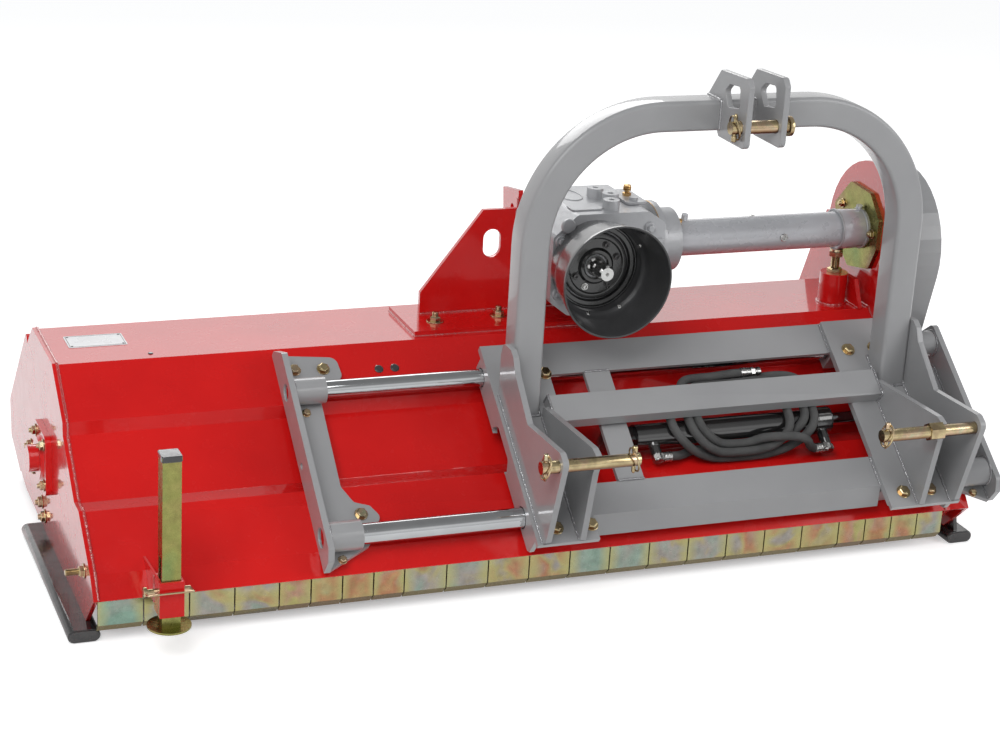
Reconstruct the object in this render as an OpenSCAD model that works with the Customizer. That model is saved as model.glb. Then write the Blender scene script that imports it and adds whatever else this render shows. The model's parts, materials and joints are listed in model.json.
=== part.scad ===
// Side-shift flail mower. X runs across the machine, Y to the rear, Z up from the ground.
// Everything is built from the left end plate and the front lower edge of the hood.

/* [Deck] */
// width over the two end plates
deck_w = 1820; // [1760:20:1940]
// height of the front lower edge of the hood above the ground
ride_h = 95; // [85:1:105]
// thickness of the folded hood sheet
skin_t = 4; // [3:0.5:5]
// thickness of the two end plates
side_t = 8; // [6:1:10]
// thickness of the plate between rotor and belts
drive_t = 10; // [8:1:12]
// depth of the belt guard
guard_w = 74; // [70:1:84]
// height of the skid runners
skid_h = 25; // [22:1:28]
// width of the skid runners
skid_w = 60; // [50:1:64]

/* [Rotor and roller] */
// radius that the hammer tips reach
rotor_r = 165; // [158:1:170]
// radius of the rotor tube
drum_r = 62; // [54:1:66]
// number of hammers along the rotor
hammer_n = 24; // [20:1:26]
// radius of the rotor shaft ends
stub_r = 20; // [17:1:22]
// radius of the rear roller
roller_r = 80; // [72:1:84]
// radius of the roller shaft ends
roller_stub_r = 15; // [12:1:18]

/* [Front flaps] */
// thickness of a flap
flap_t = 6; // [4:0.5:6.5]
// how far a flap hangs before its bent edge
flap_drop = 53; // [46:1:56]
// gap between neighbouring flaps
flap_gap = 2.5; // [2:0.5:4]
// radius of the hinge rod of the flaps
flap_rod_r = 6; // [5:0.5:7]

/* [Slide] */
// diameter of the lower slide rod
rod_low_d = 40; // [34:1:42]
// diameter of the upper slide rod
rod_up_d = 35; // [30:1:38]
// thickness of the rod bracket plates
bracket_t = 12; // [10:1:14]
// diameter of the cylinder barrel
barrel_d = 50; // [46:1:52]
// diameter of the cylinder rod
ram_d = 28; // [22:1:32]
// diameter of the hydraulic hoses
hose_d = 18; // [14:1:18]

/* [Headstock] */
// distance between the inner link lugs
link_gap = 729; // [689:10:749]
// thickness of the link lugs
lug_t = 12; // [10:1:14]
// diameter of the lower pins and the top pin
pin_d = 25; // [22:1:28]
// width of the square arch tube
arch_w = 60; // [50:1:62]
// wall of the square tubes
arch_wall = 5; // [4:0.5:8]
// height of the arch above the hood edge
arch_top = 841; // [800:1:860]
// outer radius of the arch corners
arch_r = 280; // [240:5:280]
// thickness of the side plates and carriers
frame_t = 10; // [8:1:12]
// thickness of the top link plates
top_t = 12; // [10:1:14]
// gap between the top link plates
top_gap = 64; // [52:1:70]

/* [Drive] */
// mouth radius of the guard round the input shaft
cone_r = 115; // [100:1:118]
// diameter of the input shaft
input_d = 35; // [30:1:38]
// outer diameter of the cross tube
tube_d = 76; // [70:1:80]
// diameter of the cross shaft
cross_d = 30; // [25:1:34]
// radius of the upper pulley
pulley_up_r = 95; // [85:1:100]
// radius of the lower pulley
pulley_low_r = 75; // [68:1:85]

/* [Parking stand] */
// width of the square leg
leg_w = 34; // [30:1:36]
// wall of the leg socket
socket_wall = 5; // [4:0.5:6]
// radius of the foot
foot_r = 40; // [34:1:44]

/* [Hidden] */
$fn = 48;

// clearances
run_gap = 0.05;
free_gap = 0.3;
side_gap = 2;

// the hood face leans back at this angle; s runs up it and n stands out from it
slope_a = 37.47;
slope_z = 14.8;
function sn(s, n) = [s * cos(slope_a) - n * sin(slope_a),
                     slope_z + s * sin(slope_a) + n * cos(slope_a)];

// hood outline, from the front lower edge to the lower rear edge
ledge_w = 42;
hood_top_z = sn(491.5, 0)[1];
hood_line = [[0, 0], sn(39.3, 0), sn(170, 0), sn(170, 0) + [ledge_w, 0], sn(344.6, -19),
             sn(362.5, 0), sn(491.5, 0), [604, hood_top_z], [790, 120]];

// places along the width
drive_x = deck_w - 54;
belt_x = drive_x + drive_t;
guard_x = belt_x + guard_w;
right_x = deck_w + 50;
left_x = 427;
head_x = deck_w - 531.5;

// axes in the side view
rotor_c = [464, 97];
cross_c = [446, 478];
roller_c = [810, roller_r - ride_h];
input_x = deck_w - 753;
skid_z = skid_h - ride_h;
rod_low = [51, 32];
rod_up = [371, 32];
ram_c = [210, 24.5];
link_c = [-113, 230];
top_c = [75, arch_top - 33];
cover_up = cross_c - [16, 23];
cover_up_r = 165;
cover_low_r = 110;
cover_t = 3;

// helpers
function unit(v) = v / norm(v);
function right_of(v) = [v[1], -v[0]];
function bend(p, i) =
    let (a = right_of(unit(i > 0 ? p[i] - p[i - 1] : p[1] - p[0])),
         b = right_of(unit(i < len(p) - 1 ? p[i + 1] - p[i] : p[i] - p[i - 1])))
    (a + b) / (1 + a * b);
function shifted(p, t) = [for (i = [0:len(p) - 1]) p[i] + t * bend(p, i)];
function back(p) = [for (i = [len(p) - 1:-1:0]) p[i]];
function band(p, t) = concat(p, back(shifted(p, t)));
function corner(a, b, c, r, n = 6) =
    r <= 0 ? [b] :
    let (u = unit(a - b), v = unit(c - b),
         half = acos(u * v) / 2,
         m = b + unit(u + v) * r / sin(half),
         p = b + u * r / tan(half) - m,
         turn = (u[0] * v[1] - u[1] * v[0] > 0 ? -1 : 1) * (180 - 2 * half))
    [for (k = [0:n]) let (t = turn * k / n)
        m + [p[0] * cos(t) - p[1] * sin(t), p[0] * sin(t) + p[1] * cos(t)]];
function rounded(p, r) =
    [for (i = [0:len(p) - 1])
        each corner(p[(i + len(p) - 1) % len(p)], p[i], p[(i + 1) % len(p)],
                    is_list(r) ? r[i] : r)];
function wrap(c1, r1, c2, r2, n = 20) =
    let (d = c2 - c1, a = atan2(d[1], d[0]), b = acos((r1 - r2) / norm(d)))
    concat([for (k = [0:n]) let (t = a + b + (360 - 2 * b) * k / n)
               c1 + r1 * [cos(t), sin(t)]],
           [for (k = [0:n]) let (t = a - b + 2 * b * k / n)
               c2 + r2 * [cos(t), sin(t)]]);

module place() translate([-(skid_out + right_x) / 2, -(front_y + rear_y) / 2, ride_h])
    children();
skid_out = -40;
front_y = link_c[0] - pin_d / 2 - 14.5;
rear_edge = 896;
// the rounded corner stops short of the sharp one
rear_y = rear_edge - 0.73;

// a side view outline, drawn as (y, z), pushed from x0 to x1
module across(x0, x1) translate([x0, 0, 0]) rotate([90, 0, 90])
    linear_extrude(x1 - x0) children();
// a round bar along x at a side view point
module bar(c, x0, x1, r) translate([x0, c[0], c[1]]) rotate([0, 90, 0])
    cylinder(h = x1 - x0, r = r);
// pieces drawn on the hood face, as (x, s, n)
module on_slope() translate([0, 0, slope_z]) rotate([slope_a, 0, 0]) children();
module along_y(x, z, y0, y1, r) translate([x, y0, z]) rotate([-90, 0, 0])
    cylinder(h = y1 - y0, r = r);

// deck
module hood_shell() color("red") across(side_t, drive_x)
    polygon(band(hood_line, skin_t));

side_proud = 3;
bearing_hole_r = 50;
module side_outline(proud) polygon(concat(
    [[72, skid_z]],
    shifted([for (i = [0:7]) hood_line[i]], -proud),
    rounded([[650, hood_top_z - 2], [rear_edge, 60], [886, -20], [774, -62]], [12, 14, 14, 8]),
    [[700, skid_z]]));

module end_plate_left() color("red") difference() {
    across(0, side_t) side_outline(side_proud);
    bar(rotor_c, -1, side_t + 1, bearing_hole_r);
}

module cover_outline(grow) polygon(wrap(cover_up, cover_up_r + grow,
                                        rotor_c, cover_low_r + grow));

module drive_plate() color("red") difference() {
    union() {
        across(drive_x, belt_x) side_outline(0);
        across(drive_x, belt_x) cover_outline(6);
        across(drive_x, belt_x) polygon([[540, 480], [613, 472], [670, 360], [704, 279],
                                         [650, 200], [540, 200]]);
    }
    bar(rotor_c, drive_x - 1, belt_x + 1, bearing_hole_r);
    bar(cross_c, drive_x - 1, belt_x + 1, cross_d / 2 + 12);
}

strip_end_y = 255;
module end_plate_right() color("red") union() {
    across(deck_w - side_t, deck_w) difference() {
        intersection() {
            side_outline(0);
            translate([-20, skid_z]) square([560, 600]);
        }
        cover_outline(side_gap);
        translate([strip_end_y + 40, rotor_c[1]]) square([400, 400]);
    }
    across(belt_x, deck_w - side_t) intersection() {
        polygon(band(hood_line, skin_t));
        translate([-10, -10]) square([strip_end_y + 10, 600]);
    }
}

module runner(x0) {
    r = skid_h / 2;
    z = r - ride_h;
    difference() {
        for (dx = [r, skid_w - r]) runner_edge(x0, z, r, dx);
        translate([x0 + r, 34, z - r + 4]) cube([skid_w - 2 * r, 500, skid_h - 8]);
    }
}
// one round edge of a runner with the flat web beside it
module runner_edge(x0, z, r, dx) {
    difference() {
        union() {
            along_y(x0 + dx, z, 35, 530, r);
            translate([x0 + r, 35, z - r]) cube([skid_w - 2 * r, 495, 2 * r]);
        }
        along_y(x0 + dx, z, 34, 531, r - 4);
    }
}
module side_skids() color("dimgray") {
    runner(skid_out);
    runner(deck_w - 20);
    across(deck_w, deck_w + side_t)
        polygon([[42, skid_z], [60, -8], [110, 0], [480, -30], [520, skid_z]]);
}

flap_n = 23;
flap_short = 0.712;
flap_c = [26, 8];
flap_span = drive_x - side_t - 2 * side_gap;
flap_wide = (flap_span - (flap_n - 1) * flap_gap) / (15 + 8 * flap_short);
function flap_w(i) = (i < 4 || (i > 7 && i < 19)) ? flap_wide : flap_wide * flap_short;
function flap_x(i) = i == 0 ? side_t + side_gap : flap_x(i - 1) + flap_w(i - 1) + flap_gap;
flap_y = 10;
flap_line = [[flap_y, -2], [flap_y, -flap_drop], [flap_y + 14, -flap_drop - 16]];
module flap_rod() color("silver") bar(flap_c, side_t, drive_x, flap_rod_r);
module flap(i) color("khaki") difference() {
    across(flap_x(i), flap_x(i) + flap_w(i)) union() {
        polygon(concat([flap_c + [0, flap_rod_r + 3], [18, 14]], flap_line,
                       back(shifted(flap_line, -flap_t)), [flap_c]));
        translate(flap_c) circle(r = flap_rod_r + 4);
    }
    bar(flap_c, 0, drive_x, flap_rod_r + run_gap);
}

stand_x = 124;
stand_y = -60;
stand_pin_z = 38;
stand_pin_r = 6;
stand_stroke_down = 60;
stand_stroke_up = 20;
socket_in = leg_w / 2 + 0.5;
socket_out = socket_in + socket_wall;
socket_z = [-6, 63];
function hood_y(z) = lookup(z, [[0, 0], [hood_line[1][1], hood_line[1][0]],
                                [hood_line[2][1], hood_line[2][0]]]);
module stand_socket() color("red") {
    difference() {
        translate([stand_x - socket_out, stand_y - socket_out, socket_z[0]])
            cube([2 * socket_out, 2 * socket_out, socket_z[1] - socket_z[0]]);
        translate([stand_x - socket_in, stand_y - socket_in, socket_z[0] - 1])
            cube([2 * socket_in, 2 * socket_in, 80]);
        bar([stand_y, stand_pin_z], 0, 300, stand_pin_r + free_gap);
    }
    for (x = [stand_x - socket_out, stand_x + socket_out - socket_wall])
        across(x, x + socket_wall) polygon([
            [stand_y + socket_out, 4], [hood_y(4), 4], hood_line[1],
            [hood_y(56), 56], [stand_y + socket_out, socket_z[1]]]);
}
module stand_pin() color("khaki") {
    bar([stand_y, stand_pin_z], stand_x - socket_out - 22, stand_x + socket_out + 18,
        stand_pin_r);
    bar([stand_y, stand_pin_z], stand_x - socket_out - 26, stand_x - socket_out - 18,
        stand_pin_r + 5);
}
foot_z = -32;
foot_t = 4;
leg_top = 294;
module parking_stand() color("khaki") difference() {
    union() {
        translate([stand_x - leg_w / 2, stand_y - leg_w / 2, foot_z + foot_t])
            cube([leg_w, leg_w, leg_top - foot_z - foot_t]);
        translate([stand_x, stand_y, foot_z]) cylinder(h = foot_t, r = foot_r);
        translate([stand_x - leg_w / 2 - 1, stand_y - leg_w / 2 - 1, leg_top])
            cube([leg_w + 2, leg_w + 2, 5]);
    }
    translate([stand_x - leg_w / 2 + 3, stand_y - leg_w / 2 + 3, foot_z + foot_t + 4])
        cube([leg_w - 6, leg_w - 6, leg_top - foot_z - foot_t - 8]);
    translate([stand_x - leg_w, stand_y - stand_pin_r - 0.5,
               stand_pin_z - stand_stroke_up - stand_pin_r - 1])
        cube([2 * leg_w, 2 * stand_pin_r + 1,
              stand_stroke_down + stand_stroke_up + 2 * stand_pin_r + 2]);
}

// slide on the hood face
collar_l = 64;
collar_wall = 9;
// a rod at a place (s, n) on the hood face
module slope_bar(c, x0, x1, r) on_slope() bar(c, x0, x1, r);
// outlines drawn as (s, n) and pushed from x0 to x1
module slope_wall(x0, x1, p) on_slope() across(x0, x1) polygon(p);

bracket_n = 63;
flange_t = 10;
module bracket_left() difference() {
    union() {
        slope_wall(left_x, left_x + bracket_t, rounded(
            [[-6, 0], [-6, 42], [12, bracket_n], [442, bracket_n], [477, 16], [477, 0]],
            [0, 10, 16, 10, 8, 0]));
        on_slope() linear_extrude(flange_t) polygon(rounded(
            [[left_x, -6], [left_x + 12, -6], [left_x + 97, 37], [left_x + 132, 96],
             [left_x + 116, 121], [left_x + 87, 131], [left_x + 69, 167],
             [left_x + 72, 357], [left_x + 127, 412], [left_x + 123, 456],
             [left_x, 470]], [0, 0, 14, 14, 10, 14, 16, 16, 16, 18, 0]));
        slope_bar(rod_low, left_x, left_x + bracket_t + collar_l,
                  rod_low_d / 2 + collar_wall);
        slope_bar(rod_up, left_x, left_x + bracket_t + collar_l,
                  rod_up_d / 2 + collar_wall);
    }
    rod_bores(left_x);
    slope_bar([213, 20], left_x - 1, left_x + bracket_t + 1, 7);
}
module rod_bores(x0) {
    slope_bar(rod_low, x0 - 1, x0 + collar_l + bracket_t + 1, rod_low_d / 2 + run_gap);
    slope_bar(rod_up, x0 - 1, x0 + collar_l + bracket_t + 1, rod_up_d / 2 + run_gap);
}
module bracket_right() difference() {
    union() {
        slope_wall(right_x - bracket_t, right_x, rounded(
            [[-6, 0], [-6, 42], [12, bracket_n], [398, bracket_n], [410, 20], [400, 0]],
            [8, 10, 16, 14, 8, 8]));
        on_slope() linear_extrude(flange_t) polygon(rounded(
            [[right_x, 0], [right_x - 12, -6], [right_x - 92, 37], [right_x - 112, 96],
             [right_x - 104, 121], [right_x - 84, 131], [right_x - 69, 160],
             [right_x - 66, 300], [right_x, 330]], [0, 0, 14, 14, 10, 10, 16, 16, 0]));
        slope_bar(rod_low, right_x - bracket_t - collar_l, right_x,
                  rod_low_d / 2 + collar_wall);
        slope_bar(rod_up, right_x - bracket_t - collar_l, right_x,
                  rod_up_d / 2 + collar_wall);
    }
    rod_bores(right_x - bracket_t - collar_l);
}
module slide_brackets() color("gray") {
    bracket_left();
    bracket_right();
}
module slide_rods() color("silver") {
    slope_bar(rod_low, left_x + 3, right_x - 3, rod_low_d / 2);
    slope_bar(rod_up, left_x + 3, right_x - 3, rod_up_d / 2);
}

// drive
base_t = 10;
gusset_y = 512;
jack_x = drive_x - 63;
jack_r = 10;
gear_z = [cross_c[1] - 105, cross_c[1] + 104];
gear_x = [input_x - 90, input_x + 152];
gear_y0 = 305;
module gearbox_mount() color("red") {
    translate([input_x - 336, 408, hood_top_z]) cube([400, 165, base_t]);
    difference() {
        translate([0, gusset_y + base_t, 0]) rotate([90, 0, 0]) linear_extrude(base_t)
            polygon([[input_x - 291, hood_top_z + base_t], [input_x - 291, 370],
                     [input_x - 161, 540], [input_x + 90, 540],
                     [input_x + 60, hood_top_z + base_t]]);
        for (z = [-11, 11]) along_y(input_x - 139, 468 + z, gusset_y - 1,
                                    gusset_y + base_t + 1, 19);
        translate([input_x - 158, gusset_y - 1, 457]) cube([38, base_t + 2, 22]);
    }
    difference() {
        across(input_x - 82, input_x - 72) polygon([
            [gusset_y + base_t, hood_top_z + base_t], [gusset_y + base_t, 575],
            [610, 560], [573, hood_top_z + base_t]]);
        bar([553, 530], input_x - 90, input_x, 9);
    }
    difference() {
        translate([jack_x, cross_c[0], hood_top_z]) cylinder(h = 68, r = 30);
        translate([jack_x, cross_c[0], hood_top_z + 12])
            cylinder(h = 60, r = jack_r + free_gap);
    }
    across(jack_x + 34, jack_x + 44)
        polygon([[386, hood_top_z], [506, hood_top_z], [476, 372], [416, 372]]);
}

neck_x = gear_x[1] + 26;
tube_x0 = neck_x + 55;
module gearbox_housing() color("silver") difference() {
    union() {
        translate([0, gusset_y, 0]) rotate([90, 0, 0]) linear_extrude(gusset_y - gear_y0)
            polygon(rounded([[gear_x[0], gear_z[0] + 30], [gear_x[0] + 40, gear_z[0]],
                             [gear_x[1] - 30, gear_z[0]], [gear_x[1], gear_z[0] + 34],
                             [gear_x[1], gear_z[1] - 24], [gear_x[1] - 40, gear_z[1]],
                             [gear_x[0] + 50, gear_z[1]], [gear_x[0], gear_z[1] - 44]],
                            14));
        along_y(input_x, cross_c[1], gear_y0 - 8, gear_y0, 70);
        bar(cross_c, gear_x[1], neck_x, 62);
        bar(cross_c, neck_x, neck_x + 14, 82);
        bar(cross_c, neck_x + 14, tube_x0, 66);
        for (k = [[48, 430], [44, 338], [62, 384]])
            translate([input_x + k[0], k[1], gear_z[1]]) difference() {
                cylinder(h = 19, r = 17);
                translate([0, 0, 9]) cylinder(h = 12, r = 6);
            }
        translate([input_x + 108, 372, gear_z[1]]) cylinder(h = 12, r = 9);
    }
    along_y(input_x, cross_c[1], gear_y0 - 9, 430, input_d / 2 + 3 + run_gap);
    bar(cross_c, gear_x[1] - 70, tube_x0 + 1, cross_d / 2 + run_gap);
}

cone_y = 180;
cone_t = 4;
module pto_guard() color("#222") translate([input_x, gear_y0, cross_c[1]])
    rotate([90, 0, 0]) rotate_extrude($fn = 64) difference() {
        polygon([[72, 0], [92, 0], [92, 32], [cone_r - 14, 42],
                 [cone_r, gear_y0 - cone_y], [cone_r - cone_t, gear_y0 - cone_y],
                 [cone_r - 14 - cone_t, 42 + cone_t], [92 - cone_t, 32 + cone_t],
                 [92 - cone_t, cone_t], [72, cone_t]]);
    }
module pto_shaft() color("silver")
{
    along_y(input_x, cross_c[1], cone_y + 55, gear_y0 - 8, input_d / 2);
    along_y(input_x, cross_c[1], gear_y0 - 8, 428, input_d / 2 + 3);
}

tube_wall = 6;
module cross_tube() color("gray") difference() {
    union() {
        bar(cross_c, tube_x0, drive_x - 10, tube_d / 2);
        bar(cross_c, drive_x - 74, drive_x - 10, tube_d / 2 + 5);
        for (x = [tube_x0 + 30, drive_x - 20])
            translate([x, cross_c[0], cross_c[1] + tube_d / 2 - 2]) rotate([12, 0, 0])
                cylinder(h = 16, r = 7);
    }
    bar(cross_c, tube_x0 - 1, drive_x, tube_d / 2 - tube_wall);
}
module cross_shaft() color("silver") {
    bar(cross_c, gear_x[1] - 68, guard_x - 7, cross_d / 2);
}
module bearing_flange() color("khaki") difference() {
    union() {
        across(drive_x - 10, drive_x) polygon(rounded(
            [for (q = [[138, 30], [70, 102], [-30, 96], [-84, 40], [-84, -34], [-56, -92],
                       [44, -112], [104, -66]])
                cross_c + 0.86 * q], 10));
        bar(cross_c, drive_x - 40, drive_x - 9, tube_d / 2 - tube_wall - 1);
    }
    bar(cross_c, drive_x - 50, drive_x + 1, cross_d / 2 + run_gap);
}
module belt_guard() color("gray") difference() {
    across(belt_x, guard_x) cover_outline(0);
    across(belt_x - 1, guard_x - cover_t) cover_outline(-cover_t);
}

// pulleys and belts
belt_n = 3;
belt_pitch = 14;
groove_w = 11;
groove_d = 10;
pulley_w = belt_n * belt_pitch + 2;
pulley_x = guard_x - cover_t - 3 - pulley_w;
module pulley(c, r, bore) translate([pulley_x, c[0], c[1]]) rotate([0, 90, 0])
    rotate_extrude($fn = 64) difference() {
        translate([bore + run_gap, 0]) square([r - bore - run_gap, pulley_w]);
        for (i = [0:belt_n - 1])
            translate([0, 1 + belt_pitch * (i + 0.5)]) polygon([
                [r + 1, -groove_w / 2], [r - groove_d, -groove_w / 2 + 2],
                [r - groove_d, groove_w / 2 - 2], [r + 1, groove_w / 2]]);
        for (y = [-1, pulley_w - 8])
            translate([bore + 14, y]) square([r - bore - 34, 9]);
    }
module drive_pulley() color("dimgray") pulley(cross_c, pulley_up_r, cross_d / 2);
module driven_pulley() color("dimgray") pulley(rotor_c, pulley_low_r, stub_r);
belt_w = groove_w - 5;
module drive_belts() color("#222") for (i = [0:belt_n - 1]) {
    x = pulley_x + 1 + belt_pitch * (i + 0.5) - belt_w / 2;
    across(x, x + belt_w) difference() {
        polygon(wrap(cross_c, pulley_up_r - 2, rotor_c, pulley_low_r - 2));
        polygon(wrap(cross_c, pulley_up_r - groove_d + 1.5,
                     rotor_c, pulley_low_r - groove_d + 1.5));
    }
}

// rotor
bearing_t = 12;
hub_r = stub_r + 7;
module bearing(x0, x1, x2, bore_end) difference() {
    union() {
        across(min(x0, x1), max(x0, x1)) polygon([for (q = rounded(
            [[-62, -62], [62, -62], [62, 62], [-62, 62]], 18)) rotor_c + q]);
        bar(rotor_c, min(x1, x2), max(x1, x2), hub_r);
    }
    bar(rotor_c, min(x0, bore_end), max(x0, bore_end), stub_r + run_gap);
}
module rotor_bearings() color("red") {
    bearing(0, -bearing_t, -bearing_t - 25, -bearing_t - 21);
    bearing(belt_x, belt_x + 9, belt_x + 16, belt_x + 17);
}
rotor_x0 = side_t + 18;
rotor_x1 = drive_x - 18;
pivot_r = drum_r + 28;
hammer_step = (rotor_x1 - rotor_x0 - 110) / (hammer_n - 1);
function hammer_x(i) = rotor_x0 + 55 + hammer_step * i;
drum_wall = 10;
tube_end_t = 12;
ear_gap = 20;
ear_t = 8;
bolt_r = 8;
module at_hammer(i) translate([hammer_x(i), rotor_c[0], rotor_c[1]])
    rotate([180 * (i % 2) + 24 * i, 0, 0]) children();
module rotor_shaft() color("dimgray") {
    difference() {
        union() {
            difference() {
                bar(rotor_c, rotor_x0, rotor_x1, drum_r);
                bar(rotor_c, rotor_x0 + tube_end_t, rotor_x1 - tube_end_t,
                    drum_r - drum_wall);
            }
            for (i = [0:hammer_n - 1]) at_hammer(i)
                for (x = [-ear_gap - ear_t, ear_gap]) across(x, x + ear_t)
                    polygon(rounded([[-34, drum_r - 8], [34, drum_r - 8],
                                     [16, pivot_r + 17], [-16, pivot_r + 17]],
                                    [0, 0, 13, 13]));
        }
        for (i = [0:hammer_n - 1]) at_hammer(i)
            bar([0, pivot_r], -ear_gap - ear_t - 1, ear_gap + ear_t + 1,
                bolt_r + free_gap);
    }
    bar(rotor_c, -bearing_t - 20, rotor_x0, stub_r);
    bar(rotor_c, rotor_x1, guard_x - 7, stub_r);
}
module hammers() color("#444") for (i = [0:hammer_n - 1]) at_hammer(i) {
    across(-ear_gap + side_gap, ear_gap - side_gap)
        polygon(rounded([[-17, pivot_r - 17], [17, pivot_r - 17], [15, rotor_r - 26],
                         [-15, rotor_r - 26]], [15, 15, 0, 0]));
    across(-34, 34)
        polygon([[-15, rotor_r - 44], [15, rotor_r - 44], [27, rotor_r - 12],
                 [24, rotor_r - 3], [-18, rotor_r - 3]]);
    bar([0, pivot_r], -ear_gap - ear_t - 6, ear_gap + ear_t + 6, bolt_r);
    for (x = [-ear_gap - ear_t - 6, ear_gap + ear_t])
        translate([x, 0, pivot_r]) rotate([0, 90, 0]) cylinder(h = 6, r = 13, $fn = 6);
}

// rear roller
arm_t = 10;
roller_wall = 8;
arm_line = rounded([[600, -62], [470, -50], [458, -20], [560, 45], [660, 80], [706, 76],
                    roller_c + [34, 34], roller_c + [46, 4], roller_c + [34, -36]],
                   [0, 14, 14, 0, 14, 14, 12, 12, 12]);
module roller_brackets() color("#333") for (x = [side_t, drive_x - arm_t])
    difference() {
        union() {
            across(x, x + arm_t) polygon(arm_line);
            bar(roller_c, x - (x > side_t ? 4 : 0), x + arm_t + (x > side_t ? 0 : 4), 34);
        }
        bar(roller_c, x - 5, x + arm_t + 5, roller_stub_r + run_gap);
    }
module rear_roller() color("#333") {
    x0 = side_t + arm_t + 4 + side_gap;
    x1 = drive_x - arm_t - 4 - side_gap;
    difference() {
        bar(roller_c, x0, x1, roller_r);
        bar(roller_c, x0 + tube_end_t, x1 - tube_end_t, roller_r - roller_wall);
    }
    bar(roller_c, side_t + 1, x0 + 1, roller_stub_r);
    bar(roller_c, x1 - 1, drive_x - 1, roller_stub_r);
}

// side shift cylinder
barrel_x0 = input_x + 45;
barrel_x1 = barrel_x0 + 438;
barrel_wall = 5;
piston_x = barrel_x0 + 53;
eye_x = barrel_x0 - 52;
module cylinder_rod() color("silver") {
    slope_bar(ram_c, piston_x, right_x - bracket_t, ram_d / 2);
    slope_bar(ram_c, piston_x, piston_x + 30, barrel_d / 2 - barrel_wall - 0.1);
}
strut_n = 52;
module cylinder_barrel() color("#222") {
    difference() {
        union() {
            slope_bar(ram_c, barrel_x0, barrel_x1, barrel_d / 2);
            slope_bar(ram_c, barrel_x1 - 36, barrel_x1, barrel_d / 2 + 3);
            slope_wall(eye_x, barrel_x0 + 4,
                       [[ram_c[0] - 15, 4], [ram_c[0] + 15, 4],
                        [ram_c[0] + 15, 40], [ram_c[0] - 15, 40]]);
            on_slope() translate([eye_x, ram_c[0], 2]) cylinder(h = 41, r = 22);
            for (k = [0, 1]) on_slope() {
                translate([port_x[k], ram_c[0] - 20, ram_c[1]]) rotate([90, 0, 0])
                    cylinder(h = ram_c[0] - 20 - port_s[k] + 10, r = 10);
                translate([port_x[k] - 12 * k, port_s[k], ram_c[1]]) rotate([0, 90, 0])
                    cylinder(h = 12, r = hose_d / 2 - 1);
            }
        }
        slope_bar(ram_c, barrel_x0 + 14, barrel_x1 - 18, barrel_d / 2 - barrel_wall);
        slope_bar(ram_c, barrel_x1 - 20, barrel_x1 + 1, ram_d / 2 + run_gap);
    }
    on_slope() translate([eye_x, ram_c[0], 42]) cylinder(h = strut_n - 42, r = 10);
}

// headstock
lug_in = head_x - link_gap / 2;
lug_in_r = head_x + link_gap / 2;
leg_x = lug_in - lug_t - 3 - arch_w;
leg_x_r = lug_in_r + lug_t + 3;
plate_n = 60;
end_x = leg_x - lug_t - frame_t;
end_x_r = leg_x_r + arch_w + lug_t + frame_t;
side_s = [-31, 420];
// side plate of the carriage, drawn as (s, n), arched over the cylinder
end_n = flange_t + 2;
end_outline = concat([[-18, end_n + 8], [-10, end_n], [128, end_n]],
    rounded([[150, end_n], [172, 46], [248, 46], [266, end_n]], [8, 12, 12, 8]),
    [[384, end_n], [400, end_n + 12], [400, plate_n - 4], [-18, plate_n - 4]]);
module end_wall(x) difference() {
    slope_wall(x, x + frame_t, end_outline);
    slope_bar(rod_low, x - 1, x + frame_t + 1, rod_low_d / 2 + 2);
    slope_bar(rod_up, x - 1, x + frame_t + 1, rod_up_d / 2 + 2);
}
module headstock_frame() color("gray") {
    end_wall(end_x);
    end_wall(end_x_r - frame_t);
    on_slope() {
        for (x = [[end_x, lug_in + 31], [lug_in_r - 61, end_x_r]])
            difference() {
                translate([x[0], side_s[0], plate_n - 4])
                    cube([x[1] - x[0], side_s[1] - side_s[0], frame_t + 4]);
                translate([x[0] - 1, side_s[0] - 1, plate_n - 5])
                    cube([x[1] - x[0] + 2, 14, 5]);
            }
        translate([lug_in + 31, 348, strut_n]) cube([lug_in_r - lug_in - 92, 73, 8]);
        translate([lug_in + 31, 413, strut_n - 26]) cube([lug_in_r - lug_in - 92, 8, 30]);
        translate([lug_in + 31, 26, strut_n]) cube([lug_in_r - lug_in - 92, 69, 8]);
        translate([eye_x - 27, 95, strut_n]) cube([55, 253, 10]);
    }
    slope_wall(lug_in + 31, lug_in_r - 61, [[26, strut_n + 8], [36, strut_n + 1],
                                            [8, strut_n - 36], [1, strut_n - 31]]);
    on_slope() difference() {
        translate([lug_in, 218, plate_n + frame_t]) cube([link_gap, 60, 28]);
        translate([lug_in + 4, 222, plate_n + frame_t + 4]) cube([link_gap - 8, 52, 20]);
    }
}

base_n = plate_n + frame_t;
function base_z(y) = slope_z + (base_n + y * sin(slope_a)) / cos(slope_a);
arch_y = [157, 157 + arch_w];
module arch_solid(w0, w1) {
    // w0 is cut off all round, w1 beyond the open ends
    y0 = arch_y[0] + w0;
    y1 = arch_y[1] - w0;
    top_z = arch_top - arch_r;
    for (x = [leg_x, leg_x_r]) across(x + w0, x + arch_w - w0)
        polygon([[y0, base_z(y0) - w1], [y1, base_z(y1) - w1], [y1, top_z], [y0, top_z]]);
    translate([leg_x + arch_r, y0, arch_top - arch_w + w0])
        cube([leg_x_r + arch_w - leg_x - 2 * arch_r, y1 - y0, arch_w - 2 * w0]);
    for (m = [0, 1])
        translate([m == 0 ? leg_x_r + arch_w - arch_r : leg_x + arch_r, 0, top_z])
            mirror([m, 0, 0]) translate([0, arch_y[1], 0]) rotate([90, 0, 0])
                rotate_extrude(angle = 90, $fn = 96)
                    translate([arch_r - arch_w + w0, w0])
                        square([arch_w - 2 * w0, arch_w - 2 * w0]);
}
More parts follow.
